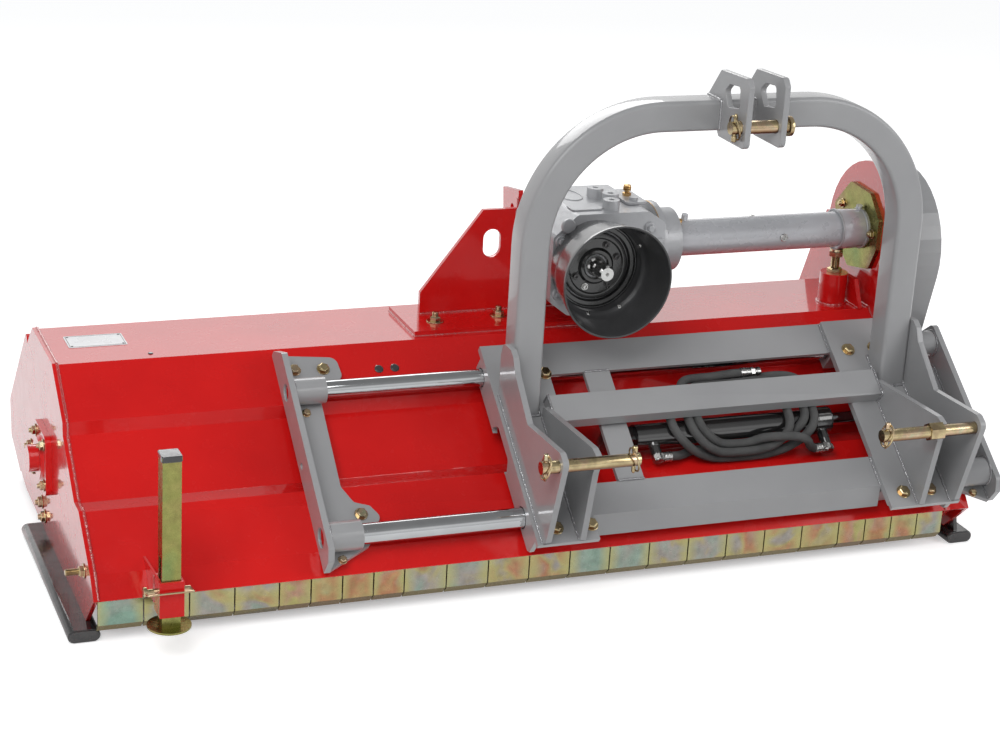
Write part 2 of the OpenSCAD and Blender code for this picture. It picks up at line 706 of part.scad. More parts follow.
module mast_arch() color("gray") difference() {
    union() {
        arch_solid(0, 0);
        for (x = [head_x - top_gap / 2 - top_t, head_x + top_gap / 2])
            difference() {
                across(x, x + top_t) difference() {
                    polygon(rounded([[50, arch_top - 71], [arch_y[0] + 4, arch_top - 71],
                                     [arch_y[1] + 2, arch_top], [arch_y[0] + 14, arch_top + 58],
                                     [62, arch_top + 64], [50, arch_top + 49]],
                                    [12, 4, 4, 10, 10, 6]));
                    polygon(rounded([[82, arch_top + 2], [130, arch_top - 6],
                                     [148, arch_top + 22], [130, arch_top + 38],
                                     [88, arch_top + 42]], 8));
                }
                bar(top_c, x - 1, x + top_t + 1, pin_d / 2 + free_gap);
            }
    }
    arch_solid(arch_wall, 5);
}

lug_out_line = [[-79, 61], link_c + [-25, 13], link_c + [-3, 28], [45, 252], [123, 328],
                [136, 355], [152, 366]];
lug_in_line = [[-70, 54], [-104, 206], link_c + [-11, 10], link_c + [21, 22]];
module lug(x, p, r) difference() {
    across(x, x + lug_t) polygon(rounded(p, r));
    bar(link_c, x - 1, x + lug_t + 1, pin_d / 2 + free_gap);
}
module link_lugs() color("gray") {
    front = sn(side_s[0] + 2, base_n);
    outer = concat([front], [for (i = [0:6]) lug_out_line[i]],
                   [[190, 366], [200, 340], [200, base_z(200)]]);
    inner = concat([front], [for (i = [0:3]) lug_in_line[i]],
                   [[arch_y[0] - 4, 243], [arch_y[0] - 4, base_z(arch_y[0] - 4)]]);
    for (x = [leg_x - lug_t, leg_x_r + arch_w])
        lug(x, outer, [0, 0, 14, 18, 0, 14, 0, 10, 10, 0, 0]);
    for (x = [lug_in - lug_t, lug_in_r])
        lug(x, inner, [0, 4, 16, 16, 12, 8, 0]);
}

block_n = [4, plate_n - 4];
module bush(c, x0, x1, rod_d) difference() {
    on_slope() translate([x0, c[0] - rod_d / 2 - 9, block_n[0]])
        cube([x1 - x0, rod_d + 18, block_n[1] - block_n[0]]);
    slope_bar(c, x0 - 1, x1 + 1, rod_d / 2 + run_gap);
}
module slide_bushes() color("gray")
    for (x = [[end_x + frame_t, lug_in + 25], [lug_in_r - 55, end_x_r - frame_t]]) {
        bush(rod_low, x[0], x[1], rod_low_d);
        bush(rod_up, x[0], x[1], rod_up_d);
    }

pin_hole_r = 4.3;
module pin_bar(c, x0, x1, holes) difference() {
    bar(c, x0, x1, pin_d / 2);
    for (x = holes) translate([x, c[0], c[1] - 20]) cylinder(h = 40, r = pin_hole_r);
}
left_pin = [leg_x - lug_t - 35, lug_in + 76];
right_pin = [lug_in_r - 135, leg_x_r + arch_w + lug_t + 6];
top_pin = [head_x - top_gap / 2 - top_t - 20, head_x + top_gap / 2 + top_t + 20];
module hitch_pins() color("khaki") {
    pin_bar(link_c, left_pin[0], left_pin[1], [left_pin[0] + 10, left_pin[1] - 10]);
    pin_bar(link_c, right_pin[0], right_pin[1], [right_pin[0] + 12]);
    translate([lug_in_r - 31, link_c[0], link_c[1]]) rotate([0, 90, 0])
        cylinder(h = 31, r = pin_d / 2 + 6, $fn = 6);
    pin_bar(top_c, top_pin[0], top_pin[1], [top_pin[0] + 10]);
    bar(top_c, top_pin[1] - 8, top_pin[1], pin_d / 2 + 7);
}
module linchpin(c, x) translate([x, c[0], c[1]]) {
    translate([0, 0, -pin_d / 2 - 15]) cylinder(h = pin_d + 30, r = 4);
    rotate([0, 90, 0]) rotate_extrude() translate([pin_d / 2 + 12, 0])
        circle(r = 2.5, $fn = 16);
}
module head_bolt(x, s) on_slope() translate([x, s, base_n])
    cylinder(h = 10, r = 13, $fn = 6);
module headstock_fasteners() color("goldenrod") {
    for (s = [2, 346]) for (x = [end_x + 46, lug_in + 21, lug_in_r - 23, lug_in_r + 38])
        head_bolt(x, s);
    linchpin(link_c, left_pin[0] + 10);
    linchpin(link_c, left_pin[1] - 10);
    linchpin(link_c, right_pin[0] + 12);
    linchpin(top_c, top_pin[0] + 10);
}

module deck_head(x, s) on_slope() translate([x, s, flange_t])
    cylinder(h = 10, r = 11, $fn = 6);
module deck_bolts() color("goldenrod") {
    for (q = [[34, 433], [92, 431], [95, 104]]) deck_head(left_x + q[0], q[1]);
    deck_head(right_x - 91, 104);
    for (y = [-42, 42]) for (z = [-42, 42])
        translate([-bearing_t - 8, rotor_c[0] + y, rotor_c[1] + z]) rotate([0, 90, 0])
            cylinder(h = 8, r = 10, $fn = 6);
    for (q = [[634, 55], [516, -20], [484, -38], [83, 25]])
        translate([-9, q[0], q[1]]) rotate([0, 90, 0]) cylinder(h = 9, r = 12, $fn = 6);
    translate([jack_x, cross_c[0], hood_top_z + 14])
        cylinder(h = cross_c[1] - tube_d / 2 - 5 - hood_top_z - 14 - 10, r = jack_r);
    translate([jack_x, cross_c[0], cross_c[1] - tube_d / 2 - 16])
        cylinder(h = 10, r = 17, $fn = 6);
    for (q = [[input_x - 274, 461], [input_x - 132, 472]])
        translate([q[0], q[1], hood_top_z + base_t]) cylinder(h = 9, r = 13, $fn = 6);
}

// hydraulic hoses: each runs from its port through flat loops over the barrel
hose_turns = 1.5;
hose_rings = 24;
hose_step = 19.5;
hose_top_n = 60.4;
loop_x = barrel_x0 + 228;
loop_s = 236;
function soft(v) = sign(v) * pow(abs(v), 0.6);
// flat loops that widen steadily and lift over the barrel at both ends
function loops(way, a0, half_x, low_n) =
    [for (i = [0:hose_rings * hose_turns])
        let (t = i / hose_rings, a = a0 + 360 * t, w = hose_step * t)
        [loop_x + way * (half_x + w) * soft(cos(a)), loop_s + (66 + w) * soft(sin(a)),
         low_n + (hose_top_n - low_n) * (1 - pow(abs(sin(a)), 3.4))]];
port_x = [barrel_x0 + 38, barrel_x1 - 22];
port_s = [158, 146];
loops_a = loops(1, 262, 140, 10);
loops_b = loops(-1, 268, 92, 30);
end_a = loops_a[len(loops_a) - 1];
end_b = loops_b[len(loops_b) - 1];
hose_a = concat([[port_x[0] + 12.01, port_s[0], ram_c[1]], [port_x[0] + 30, port_s[0], ram_c[1]],
                 [port_x[0] + 60, 166, 12], [port_x[0] + 90, 175, 10]], loops_a,
                [[end_a[0] - 22, end_a[1], 10], [end_a[0] - 42, end_a[1], 10]]);
hose_b = concat([[port_x[1] - 12, port_s[1], ram_c[1]], [port_x[1] - 30, port_s[1], ram_c[1]],
                 [port_x[1] - 46, 146, 38], [port_x[1] - 58, 149, 56],
                 [port_x[1] - 83, 153, 67], [port_x[1] - 113, 158, 65],
                 [port_x[1] - 138, 165, 54], [port_x[1] - 155, 170, 41]], loops_b,
                [[end_b[0] + 20, end_b[1], 33], [end_b[0] + 42, end_b[1], 36],
                 [end_b[0] + 62, end_b[1], 36]]);
// least distance between ring centres that lie more than four rings apart
function least(p) = min([for (i = [0:len(p) - 6]) for (j = [i + 5:len(p) - 1])
    norm(p[i] - p[j])]);
function run(p, i = 0) = i > len(p) - 2 ? 0 : norm(p[i + 1] - p[i]) + run(p, i + 1);
echo(hose_gap = [least(hose_a) - hose_d, least(hose_b) - hose_d]);
echo(hose_length = [run(hose_a), run(hose_b)]);
function slope_pt(q) = let (p = sn(q[1], q[2])) [q[0], p[0], p[1]];
module hydraulic_hoses() color("#222") {
    hose([for (q = hose_a) slope_pt(q)]);
    hose([for (q = hose_b) slope_pt(q)]);
    coupler(hose_a, -1);
    coupler(hose_b, 1);
}
coupler_l = 45;
module coupler(p, way) {
    e = p[len(p) - 1];
    slope_bar([e[1], e[2]], min(e[0], e[0] + way * coupler_l),
              max(e[0], e[0] + way * coupler_l), hose_d / 2 + 1.5);
}
module hose(p) tube_along(p, hose_d / 2, 6);
function ring_dir(p, i) = unit(p[min(i + 1, len(p) - 1)] - p[max(i - 1, 0)]);
module tube_along(p, r, m) {
    up = unit([0, -sin(slope_a), cos(slope_a)]);
    n = len(p);
    pts = [for (i = [0:n - 1])
        let (d = ring_dir(p, i), a = unit(cross(d, up)), b = cross(a, d))
        for (j = [0:m - 1]) p[i] + r * (cos(360 * j / m) * a + sin(360 * j / m) * b)];
    faces = concat(
        [[for (j = [m - 1:-1:0]) j]],
        [for (i = [0:n - 2]) for (j = [0:m - 1])
            let (k = (j + 1) % m)
            each [[i * m + j, i * m + k, (i + 1) * m + j],
                  [i * m + k, (i + 1) * m + k, (i + 1) * m + j]]],
        [[for (j = [0:m - 1]) (n - 1) * m + j]]);
    polyhedron(pts, faces);
}

place() {
    hood_shell();
    end_plate_left();
    end_plate_right();
    side_skids();
    flap_rod();
    stand_socket();
    stand_pin();
    slide_brackets();
    slide_rods();
    gearbox_mount();
    gearbox_housing();
    pto_guard();
    cross_tube();
    bearing_flange();
    drive_plate();
    belt_guard();
    rotor_bearings();
    roller_brackets();
    cylinder_rod();
    deck_bolts();
    drive_belts();
    rotor_shaft();
    hammers();
    driven_pulley();
    cross_shaft();
    drive_pulley();
    pto_shaft();
    rear_roller();
    parking_stand();
    headstock_frame();
    mast_arch();
    link_lugs();
    slide_bushes();
    hitch_pins();
    headstock_fasteners();
    cylinder_barrel();
    hydraulic_hoses();
    flap(0);  // flap_01
    flap(1);  // flap_02
    flap(2);  // flap_03
    flap(3);  // flap_04
    flap(4);  // flap_05
    flap(5);  // flap_06
    flap(6);  // flap_07
    flap(7);  // flap_08
    flap(8);  // flap_09
    flap(9);  // flap_10
    flap(10);  // flap_11
    flap(11);  // flap_12
    flap(12);  // flap_13
    flap(13);  // flap_14
    flap(14);  // flap_15
    flap(15);  // flap_16
    flap(16);  // flap_17
    flap(17);  // flap_18
    flap(18);  // flap_19
    flap(19);  // flap_20
    flap(20);  // flap_21
    flap(21);  // flap_22
    flap(22);  // flap_23
}
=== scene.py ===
"""Side-shift flail mower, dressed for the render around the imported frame."""
import json
import random
from math import acos, copysign, cos, pi, radians, sin, tan

import bmesh
import bpy
from mathutils import Matrix, Vector


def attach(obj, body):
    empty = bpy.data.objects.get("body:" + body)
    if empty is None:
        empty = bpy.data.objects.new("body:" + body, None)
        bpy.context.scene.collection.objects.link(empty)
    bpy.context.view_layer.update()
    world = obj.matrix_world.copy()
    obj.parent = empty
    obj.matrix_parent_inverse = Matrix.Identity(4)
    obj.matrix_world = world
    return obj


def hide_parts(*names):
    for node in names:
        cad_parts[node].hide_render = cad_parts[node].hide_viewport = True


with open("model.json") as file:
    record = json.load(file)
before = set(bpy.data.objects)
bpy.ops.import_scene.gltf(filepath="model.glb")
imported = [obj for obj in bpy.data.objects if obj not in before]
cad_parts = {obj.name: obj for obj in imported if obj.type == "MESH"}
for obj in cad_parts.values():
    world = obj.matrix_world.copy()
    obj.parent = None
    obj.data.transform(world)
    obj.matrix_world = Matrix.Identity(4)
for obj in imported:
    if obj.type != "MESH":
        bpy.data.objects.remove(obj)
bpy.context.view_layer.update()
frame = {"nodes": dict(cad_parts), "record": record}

NODES = frame["nodes"]
MM = 0.001

# The design's origin is the left end plate and the front lower edge of the hood. These
# sizes and places are those of the part's source, in millimetres.
MID_X, MID_Y, RIDE = 915, 377.635, 95
SLOPE_A = radians(37.47)
SLOPE_Z = 14.8
DECK_W = 1820
DRIVE_X = DECK_W - 54
LEFT_X, RIGHT_X = 427, DECK_W + 50
BRACKET_T, FLANGE_T = 12, 10
INPUT_X = DECK_W - 753
HEAD_X = DECK_W - 531.5
LUG_IN, LUG_IN_R = HEAD_X - 364.5, HEAD_X + 364.5
LUG_T = 12
LEG_X, LEG_X_R = LUG_IN - 75, LUG_IN_R + 15
END_X = LEG_X - 22
PLATE_N, BASE_N = 60, 70
ARCH_TOP, ARCH_R, ARCH_W = 841, 280, 60
ARCH_Y = 187
TOP_IN, TOP_T = 32, 12
BARREL_X0 = INPUT_X + 45
BARREL_X1 = BARREL_X0 + 438
PORT_A, PORT_B = BARREL_X0 + 38, BARREL_X1 - 22
PORT_A_S, PORT_B_S = 158, 146
EYE_X = BARREL_X0 - 52
JACK_X = DRIVE_X - 63
NECK_X = INPUT_X + 178
GEARBOX_TOP, GEARBOX_FRONT, MOUNT_T = 582, 305, 10
ROTOR, CROSS = (464, 97), (446, 478)
LINK_PIN, TOP_PIN = (-113, 230), (75, 808)
ROD_LOW, ROD_UP, RAM = (51, 32), (371, 32), (210, 24.5)
STAND_X, STAND_Y, STAND_PIN_Z = 124, -60, 38
SKIDS_X, SKID_W, SKID_H = (-40, DECK_W - 20), 60, 25
RATING, RATING_T = (49, 164, 475, 543), 1.1
# how far the middle of a weld bead stands off the faces that it joins
PROUD = 0.5

X_AXIS = Vector((1, 0, 0))
Y_AXIS = Vector((0, 1, 0))
Z_AXIS = Vector((0, 0, 1))
LEFT = X_AXIS * -1
FRONT = Y_AXIS * -1
UP_SLOPE = Vector((0, cos(SLOPE_A), sin(SLOPE_A)))
OUT_SLOPE = Vector((0, -sin(SLOPE_A), cos(SLOPE_A)))


def spot(x, y, z):
    """A point of the design, as metres in the row frame."""
    return Vector(((x - MID_X) * MM, (y - MID_Y) * MM, (z + RIDE) * MM))


def by_slope(s, n):
    """A point by the hood's face in the side view: s up the slope and n out of it."""
    return (s * cos(SLOPE_A) - n * sin(SLOPE_A),
            SLOPE_Z + s * sin(SLOPE_A) + n * cos(SLOPE_A))


def face(x, s, n):
    """The same point at the place x along the machine, in metres."""
    return spot(x, *by_slope(s, n))


TOP_Z = by_slope(491.5, 0)[1]
LEDGE = by_slope(170, 0)
HOOD = [(0, 0), by_slope(39.3, 0), LEDGE, (LEDGE[0] + 42, LEDGE[1]),
        by_slope(344.6, -19), by_slope(362.5, 0), by_slope(491.5, 0), (604, TOP_Z),
        (790, 120)]

# camera, solved from the photograph
CAMERA_AT = (-1.6176, -3.98854, 1.876)
CAMERA_RIGHT = Vector((0.933059, -0.355413, 0.055514))
CAMERA_DOWN = Vector((-0.072263, -0.336372, -0.938953))
CAMERA_AHEAD = Vector((0.35239, 0.872087, -0.339538))


def put(name, data):
    """An object in the scene for a mesh, a lamp or a camera."""
    obj = bpy.data.objects.new(name, data)
    bpy.context.collection.objects.link(obj)
    return obj


def add_camera():
    data = bpy.data.cameras.new("camera")
    data.lens = 80.636
    data.sensor_width = 36
    data.clip_end = 100
    camera = put("camera", data)
    turn = Matrix((CAMERA_RIGHT, -CAMERA_DOWN, -CAMERA_AHEAD)).transposed()
    camera.matrix_world = Matrix.Translation(CAMERA_AT) @ turn.to_4x4()
    bpy.context.scene.camera = camera


# shader nodes
def feed(tree, socket, value):
    """Gives a socket a number, a colour, a vector or another node's output."""
    if isinstance(value, (int, float)):
        socket.default_value = value
    elif isinstance(value, tuple):
        socket.default_value = (*value, 1)[:len(socket.default_value)]
    else:
        tree.links.new(value, socket)


def fill(tree, made, **values):
    """Feeds the inputs of a node by their names, with an underscore for each space."""
    for name, value in values.items():
        feed(tree, made.inputs[name.replace("_", " ")], value)
    return made


def node(tree, kind, **values):
    return fill(tree, tree.nodes.new("ShaderNode" + kind), **values)


def noise(tree, vec, scale, detail=3, rough=0.5, stretch=None, distortion=0):
    if stretch:
        vec = node(tree, "Mapping", Scale=stretch, Vector=vec).outputs[0]
    return node(tree, "TexNoise", Scale=scale, Detail=detail, Roughness=rough,
                Distortion=distortion, Vector=vec).outputs[0]


def spread(tree, fac, low, high, from_low=0.3, from_high=0.7):
    """Maps a range of a value to another range, and holds it at the ends."""
    return node(tree, "MapRange", From_Min=from_low, From_Max=from_high, To_Min=low,
                To_Max=high, Value=fac).outputs[0]


def ramp(tree, fac, stops):
    made = tree.nodes.new("ShaderNodeValToRGB")
    band = made.color_ramp
    while len(band.elements) < len(stops):
        band.elements.new(0.5)
    for element, (place, color) in zip(band.elements, stops):
        element.position = place
        element.color = (*color, 1)
    tree.links.new(fac, made.inputs[0])
    return made.outputs[0]


def mix(tree, fac, a, b, how="MIX"):
    made = tree.nodes.new("ShaderNodeMix")
    made.data_type = "RGBA"
    made.blend_type = how
    for k, value in ((0, fac), (6, a), (7, b)):
        feed(tree, made.inputs[k], value)
    return made.outputs[2]


def calc(tree, a, b, how="ADD"):
    made = tree.nodes.new("ShaderNodeMath")
    made.operation = how
    feed(tree, made.inputs[0], a)
    feed(tree, made.inputs[1], b)
    return made.outputs[0]


def part_of(tree, vec, k):
    """The x, y or z of a vector, for k of 0, 1 or 2."""
    return node(tree, "SeparateXYZ", Vector=vec).outputs[k]


def bump(tree, height, strength, distance, **normal):
    return node(tree, "Bump", Strength=strength, Distance=distance, Height=height,
                **normal).outputs[0]


def bare_tree(owner):
    """The nodes of a material or a world, with none in it yet."""
    owner.use_nodes = True
    owner.node_tree.nodes.clear()
    return owner.node_tree


# materials
def new_material(name):
    """A material, its nodes, its surface and the coordinates that patterns follow."""
    mat = bpy.data.materials.new(name)
    tree = bare_tree(mat)
    bsdf = node(tree, "BsdfPrincipled")
    node(tree, "OutputMaterial", Surface=bsdf.outputs[0])
    return mat, tree, bsdf, node(tree, "TexCoord").outputs["Object"]


def paint(name, color, shade, rough, coat=1, coat_ior=1.5, metallic=0, peel=0.1,
          dust=0, spec=0.5, graze=None):
    """Paint: slow colour drift, orange peel, and a little dust in patches. With graze
    the clear coat runs from its first value, seen square on, to its second."""
    mat, tree, bsdf, obj = new_material(name)
    base = mix(tree, spread(tree, noise(tree, obj, 5, 4), 0, 1), color, shade)
    if dust:
        patches = spread(tree, noise(tree, obj, 17, 6, 0.65), 0, dust, 0.45, 0.75)
        base = mix(tree, patches, base, (0.55, 0.52, 0.48))
    if graze:
        facing = node(tree, "LayerWeight", Blend=0.5).outputs["Facing"]
        coat = spread(tree, facing, *graze, 0.24, 0.62)
    waves = bump(tree, noise(tree, obj, 60, 2), peel, 0.0015)
    skin = bump(tree, noise(tree, obj, 520, 2), peel, 0.0004, Normal=waves)
    fill(tree, bsdf, Base_Color=base, Metallic=metallic, Specular_IOR_Level=spec,
         Roughness=spread(tree, noise(tree, obj, 26, 4), *rough), Coat_Weight=coat,
         Coat_Roughness=0.06, Coat_IOR=coat_ior, Normal=skin, Coat_Normal=skin)
    return mat


def metal(name, low, high, rough, streak=None, grain=0.05, scale=9):
    """Bare or plated metal: colour over a slow drift, fine streaks or grain."""
    mat, tree, bsdf, obj = new_material(name)
    drift = spread(tree, noise(tree, obj, scale, 5, 0.6, None, 0.8), 0, 1, 0.25, 0.75)
    lines = noise(tree, obj, 140, 4, 0.6, streak)
    fill(tree, bsdf, Base_Color=ramp(tree, drift, [(0, low), (1, high)]), Metallic=1,
         Roughness=spread(tree, lines, *rough), Normal=bump(tree, lines, grain, 0.0003))
    return mat


def rubber(name, color, worn, rough, grain, scale):
    mat, tree, bsdf, obj = new_material(name)
    drift = spread(tree, noise(tree, obj, 14, 5, 0.6), 0, 1)
    fill(tree, bsdf, Base_Color=mix(tree, drift, color, worn),
         Roughness=spread(tree, noise(tree, obj, 40, 4), *rough),
         Normal=bump(tree, noise(tree, obj, scale, 3), grain, 0.0004))
    return mat


def sleeve_material(name, dark, pale, turns=30, strands=16):
    """Braided sleeve: two crossing sets of strands that run round the hose."""
    mat, tree, bsdf, obj = new_material(name)
    uv = node(tree, "UVMap")
    uv.uv_map = "along"
    u = calc(tree, part_of(tree, uv.outputs[0], 0), 2 * pi * turns, "MULTIPLY")
    v = calc(tree, part_of(tree, uv.outputs[0], 1), 2 * pi * strands, "MULTIPLY")
    one = calc(tree, calc(tree, u, v), 0, "SINE")
    two = calc(tree, calc(tree, u, v, "SUBTRACT"), 0, "SINE")
    weave = calc(tree, one, two, "MULTIPLY")
    worn = spread(tree, noise(tree, obj, 24, 5), 0.55, 1.15, 0.3, 0.7)
    shade = calc(tree, spread(tree, weave, 0, 1, -0.8, 0.8), worn, "MULTIPLY")
    fill(tree, bsdf, Base_Color=mix(tree, shade, dark, pale), Roughness=0.8,
         Specular_IOR_Level=0.3, Normal=bump(tree, weave, 0.6, 0.0006))
    return mat


def passivate(name, stops, under, rough, scale, by_object, rim=None):
    """Yellow passivated zinc: broad soft colour clouds, and painted shade that makes it browner
    where it faces down. A rim colour runs down both sides of a bent sheet."""
    mat, tree, bsdf, obj = new_material(name)
    cloud = noise(tree, obj, scale, 3, 0.45, None, 0.5)
    chance = node(tree, "ObjectInfo").outputs["Random"]
    shift = spread(tree, chance, -by_object, by_object, 0, 1)
    base = ramp(tree, calc(tree, spread(tree, cloud, 0, 1, 0.28, 0.72), shift), stops)
    smudge = spread(tree, noise(tree, obj, 55, 6, 0.6), 0.78, 1.1, 0.3, 0.7)
    grey = node(tree, "CombineXYZ", X=smudge, Y=smudge, Z=smudge).outputs[0]
    base = mix(tree, 1, base, grey, "MULTIPLY")
    coord = node(tree, "TexCoord").outputs
    if rim:
        across = part_of(tree, coord["Generated"], 0)
        aside = calc(tree, calc(tree, across, -0.5), 0, "ABSOLUTE")
        wavy = calc(tree, aside, spread(tree, cloud, -0.09, 0.09))
        base = mix(tree, spread(tree, wavy, 0, 0.75, 0.2, 0.46), base, rim)
    # painted shade: faces that point down are mixed towards the under colour
    low = spread(tree, part_of(tree, coord["Normal"], 2), 1, 0, -0.55, -0.08)
    lines = noise(tree, obj, 150, 4, 0.6)
    fill(tree, bsdf, Base_Color=mix(tree, low, base, under), Metallic=1,
         Roughness=spread(tree, lines, *rough), Normal=bump(tree, lines, 0.05, 0.0003))
    return mat


FINISH = {
    "red_paint": paint(
        "red_powder_coat", (0.68, 0.011, 0.01), (0.58, 0.008, 0.008), (0.2, 0.3), coat_ior=3.2,
        peel=0.04, spec=0.12, graze=(0.035, 0.94)),
    "red_weld": paint(
        "red_weld", (0.5, 0.01, 0.01), (0.4, 0.006, 0.006), (0.1, 0.2), coat_ior=1.9, peel=0.3),
    "grey_paint": paint(
        "grey_powder_coat", (0.335, 0.335, 0.34), (0.3, 0.3, 0.306), (0.28, 0.4), peel=0.06,
        spec=0.3, graze=(0.25, 0.9)),
    "grey_weld": paint(
        "grey_weld", (0.32, 0.32, 0.33), (0.22, 0.22, 0.23), (0.14, 0.26), 0.9, 1.7,
        metallic=0.35, peel=0.3),
    "pale_paint": paint(
        "silver_paint", (0.56, 0.565, 0.59), (0.5, 0.505, 0.53), (0.22, 0.34), metallic=0.2,
        peel=0.06, graze=(0.3, 1)),
    "cast_alloy": paint(
        "painted_casting", (0.46, 0.465, 0.48), (0.36, 0.365, 0.38), (0.32, 0.46), 0.35,
        metallic=0.15, peel=0.5),
    "black_paint": paint(
        "black_enamel", (0.014, 0.014, 0.015), (0.024, 0.023, 0.022), (0.08, 0.2), coat_ior=1.6,
        peel=0.05),
    "black_gloss": paint(
        "black_cover", (0.012, 0.012, 0.012), (0.02, 0.02, 0.02), (0.14, 0.28), 0.7),
    "skid_steel": paint(
        "worn_black_steel", (0.018, 0.018, 0.019), (0.045, 0.044, 0.045), (0.12, 0.3), 0.7,
        metallic=0.3, peel=0.25, dust=0.08),
    "plate_white": paint(
        "white_plate", (0.74, 0.74, 0.75), (0.68, 0.68, 0.69), (0.24, 0.34), 0.3, metallic=0.1,
        peel=0.04),
    "guard_plastic": paint(
        "guard_plastic", (0.03, 0.03, 0.031), (0.05, 0.05, 0.052), (0.3, 0.42), coat_ior=1.7,
        peel=0.3, graze=(0, 1)),
    "cap_plastic": paint(
        "cap_plastic", (0.03, 0.031, 0.033), (0.055, 0.055, 0.058), (0.3, 0.42), coat_ior=1.8,
        peel=0.2, graze=(0.1, 1)),
    "zinc_plate": passivate(
        "yellow_passivate",
        [(0, (0.2, 0.27, 0.1)), (0.35, (0.28, 0.28, 0.09)),
         (0.65, (0.31, 0.25, 0.1)), (1, (0.32, 0.22, 0.15))],
        (0.16, 0.1, 0.04), (0.22, 0.36), 7, 0.1),
    "zinc_gold": passivate(
        "gold_passivate",
        [(0, (0.38, 0.29, 0.17)), (0.4, (0.56, 0.46, 0.26)),
         (0.7, (0.58, 0.42, 0.28)), (1, (0.48, 0.48, 0.31))],
        (0.2, 0.1, 0.05), (0.14, 0.28), 30, 0.1),
    "flap_zinc": passivate(
        "iridescent_passivate",
        [(0, (0.24, 0.36, 0.29)), (0.28, (0.3, 0.35, 0.3)),
         (0.5, (0.35, 0.32, 0.29)), (0.66, (0.41, 0.35, 0.17)),
         (0.82, (0.43, 0.22, 0.13)), (1, (0.38, 0.25, 0.19))],
        (0.16, 0.12, 0.035), (0.24, 0.38), 11, 0.3, (0.43, 0.41, 0.18)),
    "flap_rosy": passivate(
        "rosy_passivate",
        [(0, (0.36, 0.37, 0.2)), (0.25, (0.43, 0.31, 0.15)),
         (0.5, (0.44, 0.22, 0.12)), (0.8, (0.43, 0.27, 0.19)),
         (1, (0.4, 0.36, 0.15))],
        (0.15, 0.09, 0.03), (0.24, 0.38), 16, 0.16, (0.41, 0.4, 0.17)),
    "chrome": metal("hard_chrome", (0.42, 0.43, 0.44), (0.5, 0.51, 0.52),
                    (0.05, 0.1), (0.02, 1, 1), 0.01),
    "bright_steel": metal("turned_steel", (0.44, 0.44, 0.43), (0.6, 0.6, 0.59),
                          (0.2, 0.32), (1, 0.03, 1)),
    "brass": metal("brass", (0.42, 0.24, 0.09), (0.6, 0.4, 0.18),
                   (0.18, 0.3), scale=30),
    "dark_steel": metal("rolled_steel", (0.07, 0.07, 0.072), (0.15, 0.145, 0.145),
                        (0.34, 0.5), grain=0.2),
    "rubber_black": rubber("black_rubber", (0.022, 0.022, 0.023), (0.04, 0.039, 0.038),
                           (0.5, 0.7), 0.4, 700),
    "hose_sleeve": sleeve_material("braided_sleeve", (0.04, 0.04, 0.04),
                                   (0.165, 0.165, 0.163)),
}

# finishes other than the usual one of a slot
LOOK = {"side_skids": "skid_steel", "rotor_bearings": "red_paint", "hitch_pins": "zinc_gold",
        "bearing_flange": "zinc_plate"}
# the narrow flaps with a redder plating
ROSY = ("flap_05", "flap_06", "flap_07", "flap_08", "flap_20", "flap_21")
# how far edges are broken, in millimetres, where it isn't the usual width
EDGE = {"drive_belts": 0, "hydraulic_hoses": 0, "gearbox_housing": 2.5, "mast_arch": 0}
FLAP_EDGE, USUAL_EDGE = 0.4, 0.8


def soften(obj, width):
    """Breaks the edges of a piece a little, so that they catch the light."""
    edge = obj.modifiers.new("edge", "BEVEL")
    edge.width = width * MM
    edge.segments = 2
    edge.limit_method = "ANGLE"
    edge.angle_limit = radians(38)


def finish_nodes():
    """The record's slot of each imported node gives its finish."""
    for row in frame["record"]["subparts"]:
        name = row["node"]
        look = LOOK.get(name, row["material_slot"])
        if name.startswith("flap_") and name != "flap_rod":
            look = "flap_rosy" if name in ROSY else "flap_zinc"
        for place in NODES[name].material_slots:
            place.link = "OBJECT"
            place.material = FINISH[look]
    for name, obj in NODES.items():
        width = EDGE.get(name, FLAP_EDGE if name.startswith("flap_") else USUAL_EDGE)
        if width:
            obj.modifiers.new("merge", "WELD").merge_threshold = 2e-5
            soften(obj, width)


# builders for small parts, with sizes in millimetres
def frame_at(origin, axis=Z_AXIS, up=None):
    """A frame at a point with its z along an axis."""
    z = Vector(axis).normalized()
    if up is None:
        up = Z_AXIS if abs(z.z) < 0.9 else X_AXIS
    x = Vector(up).cross(z).normalized()
    seat = Matrix((x, z.cross(x), z)).transposed().to_4x4()
    seat.translation = origin
    return seat


def flat_at(z):
    """A frame whose x and y are the design's own, at a height."""
    return Matrix.Translation(spot(0, 0, z))


def on_circle(r, k, n, turn=0):
    """The k-th of n points on a circle."""
    a = turn + 2 * pi * k / n
    return r * cos(a), r * sin(a)


def circle(centre, r, axis=X_AXIS, n=40):
    seat = frame_at(centre, axis)
    return [seat @ (Vector((*on_circle(r, k, n), 0)) * MM) for k in range(n)]


def box_outline(x0, x1, y0, y1, r, n=4):
    """A rectangle with round corners."""
    out = []
    for cx, cy, a in ((x1 - r, y0 + r, -90), (x1 - r, y1 - r, 0),
                      (x0 + r, y1 - r, 90), (x0 + r, y0 + r, 180)):
        for k in range(n + 1):
            t = radians(a + 90 * k / n)
            out.append((cx + r * cos(t), cy + r * sin(t)))
    return out


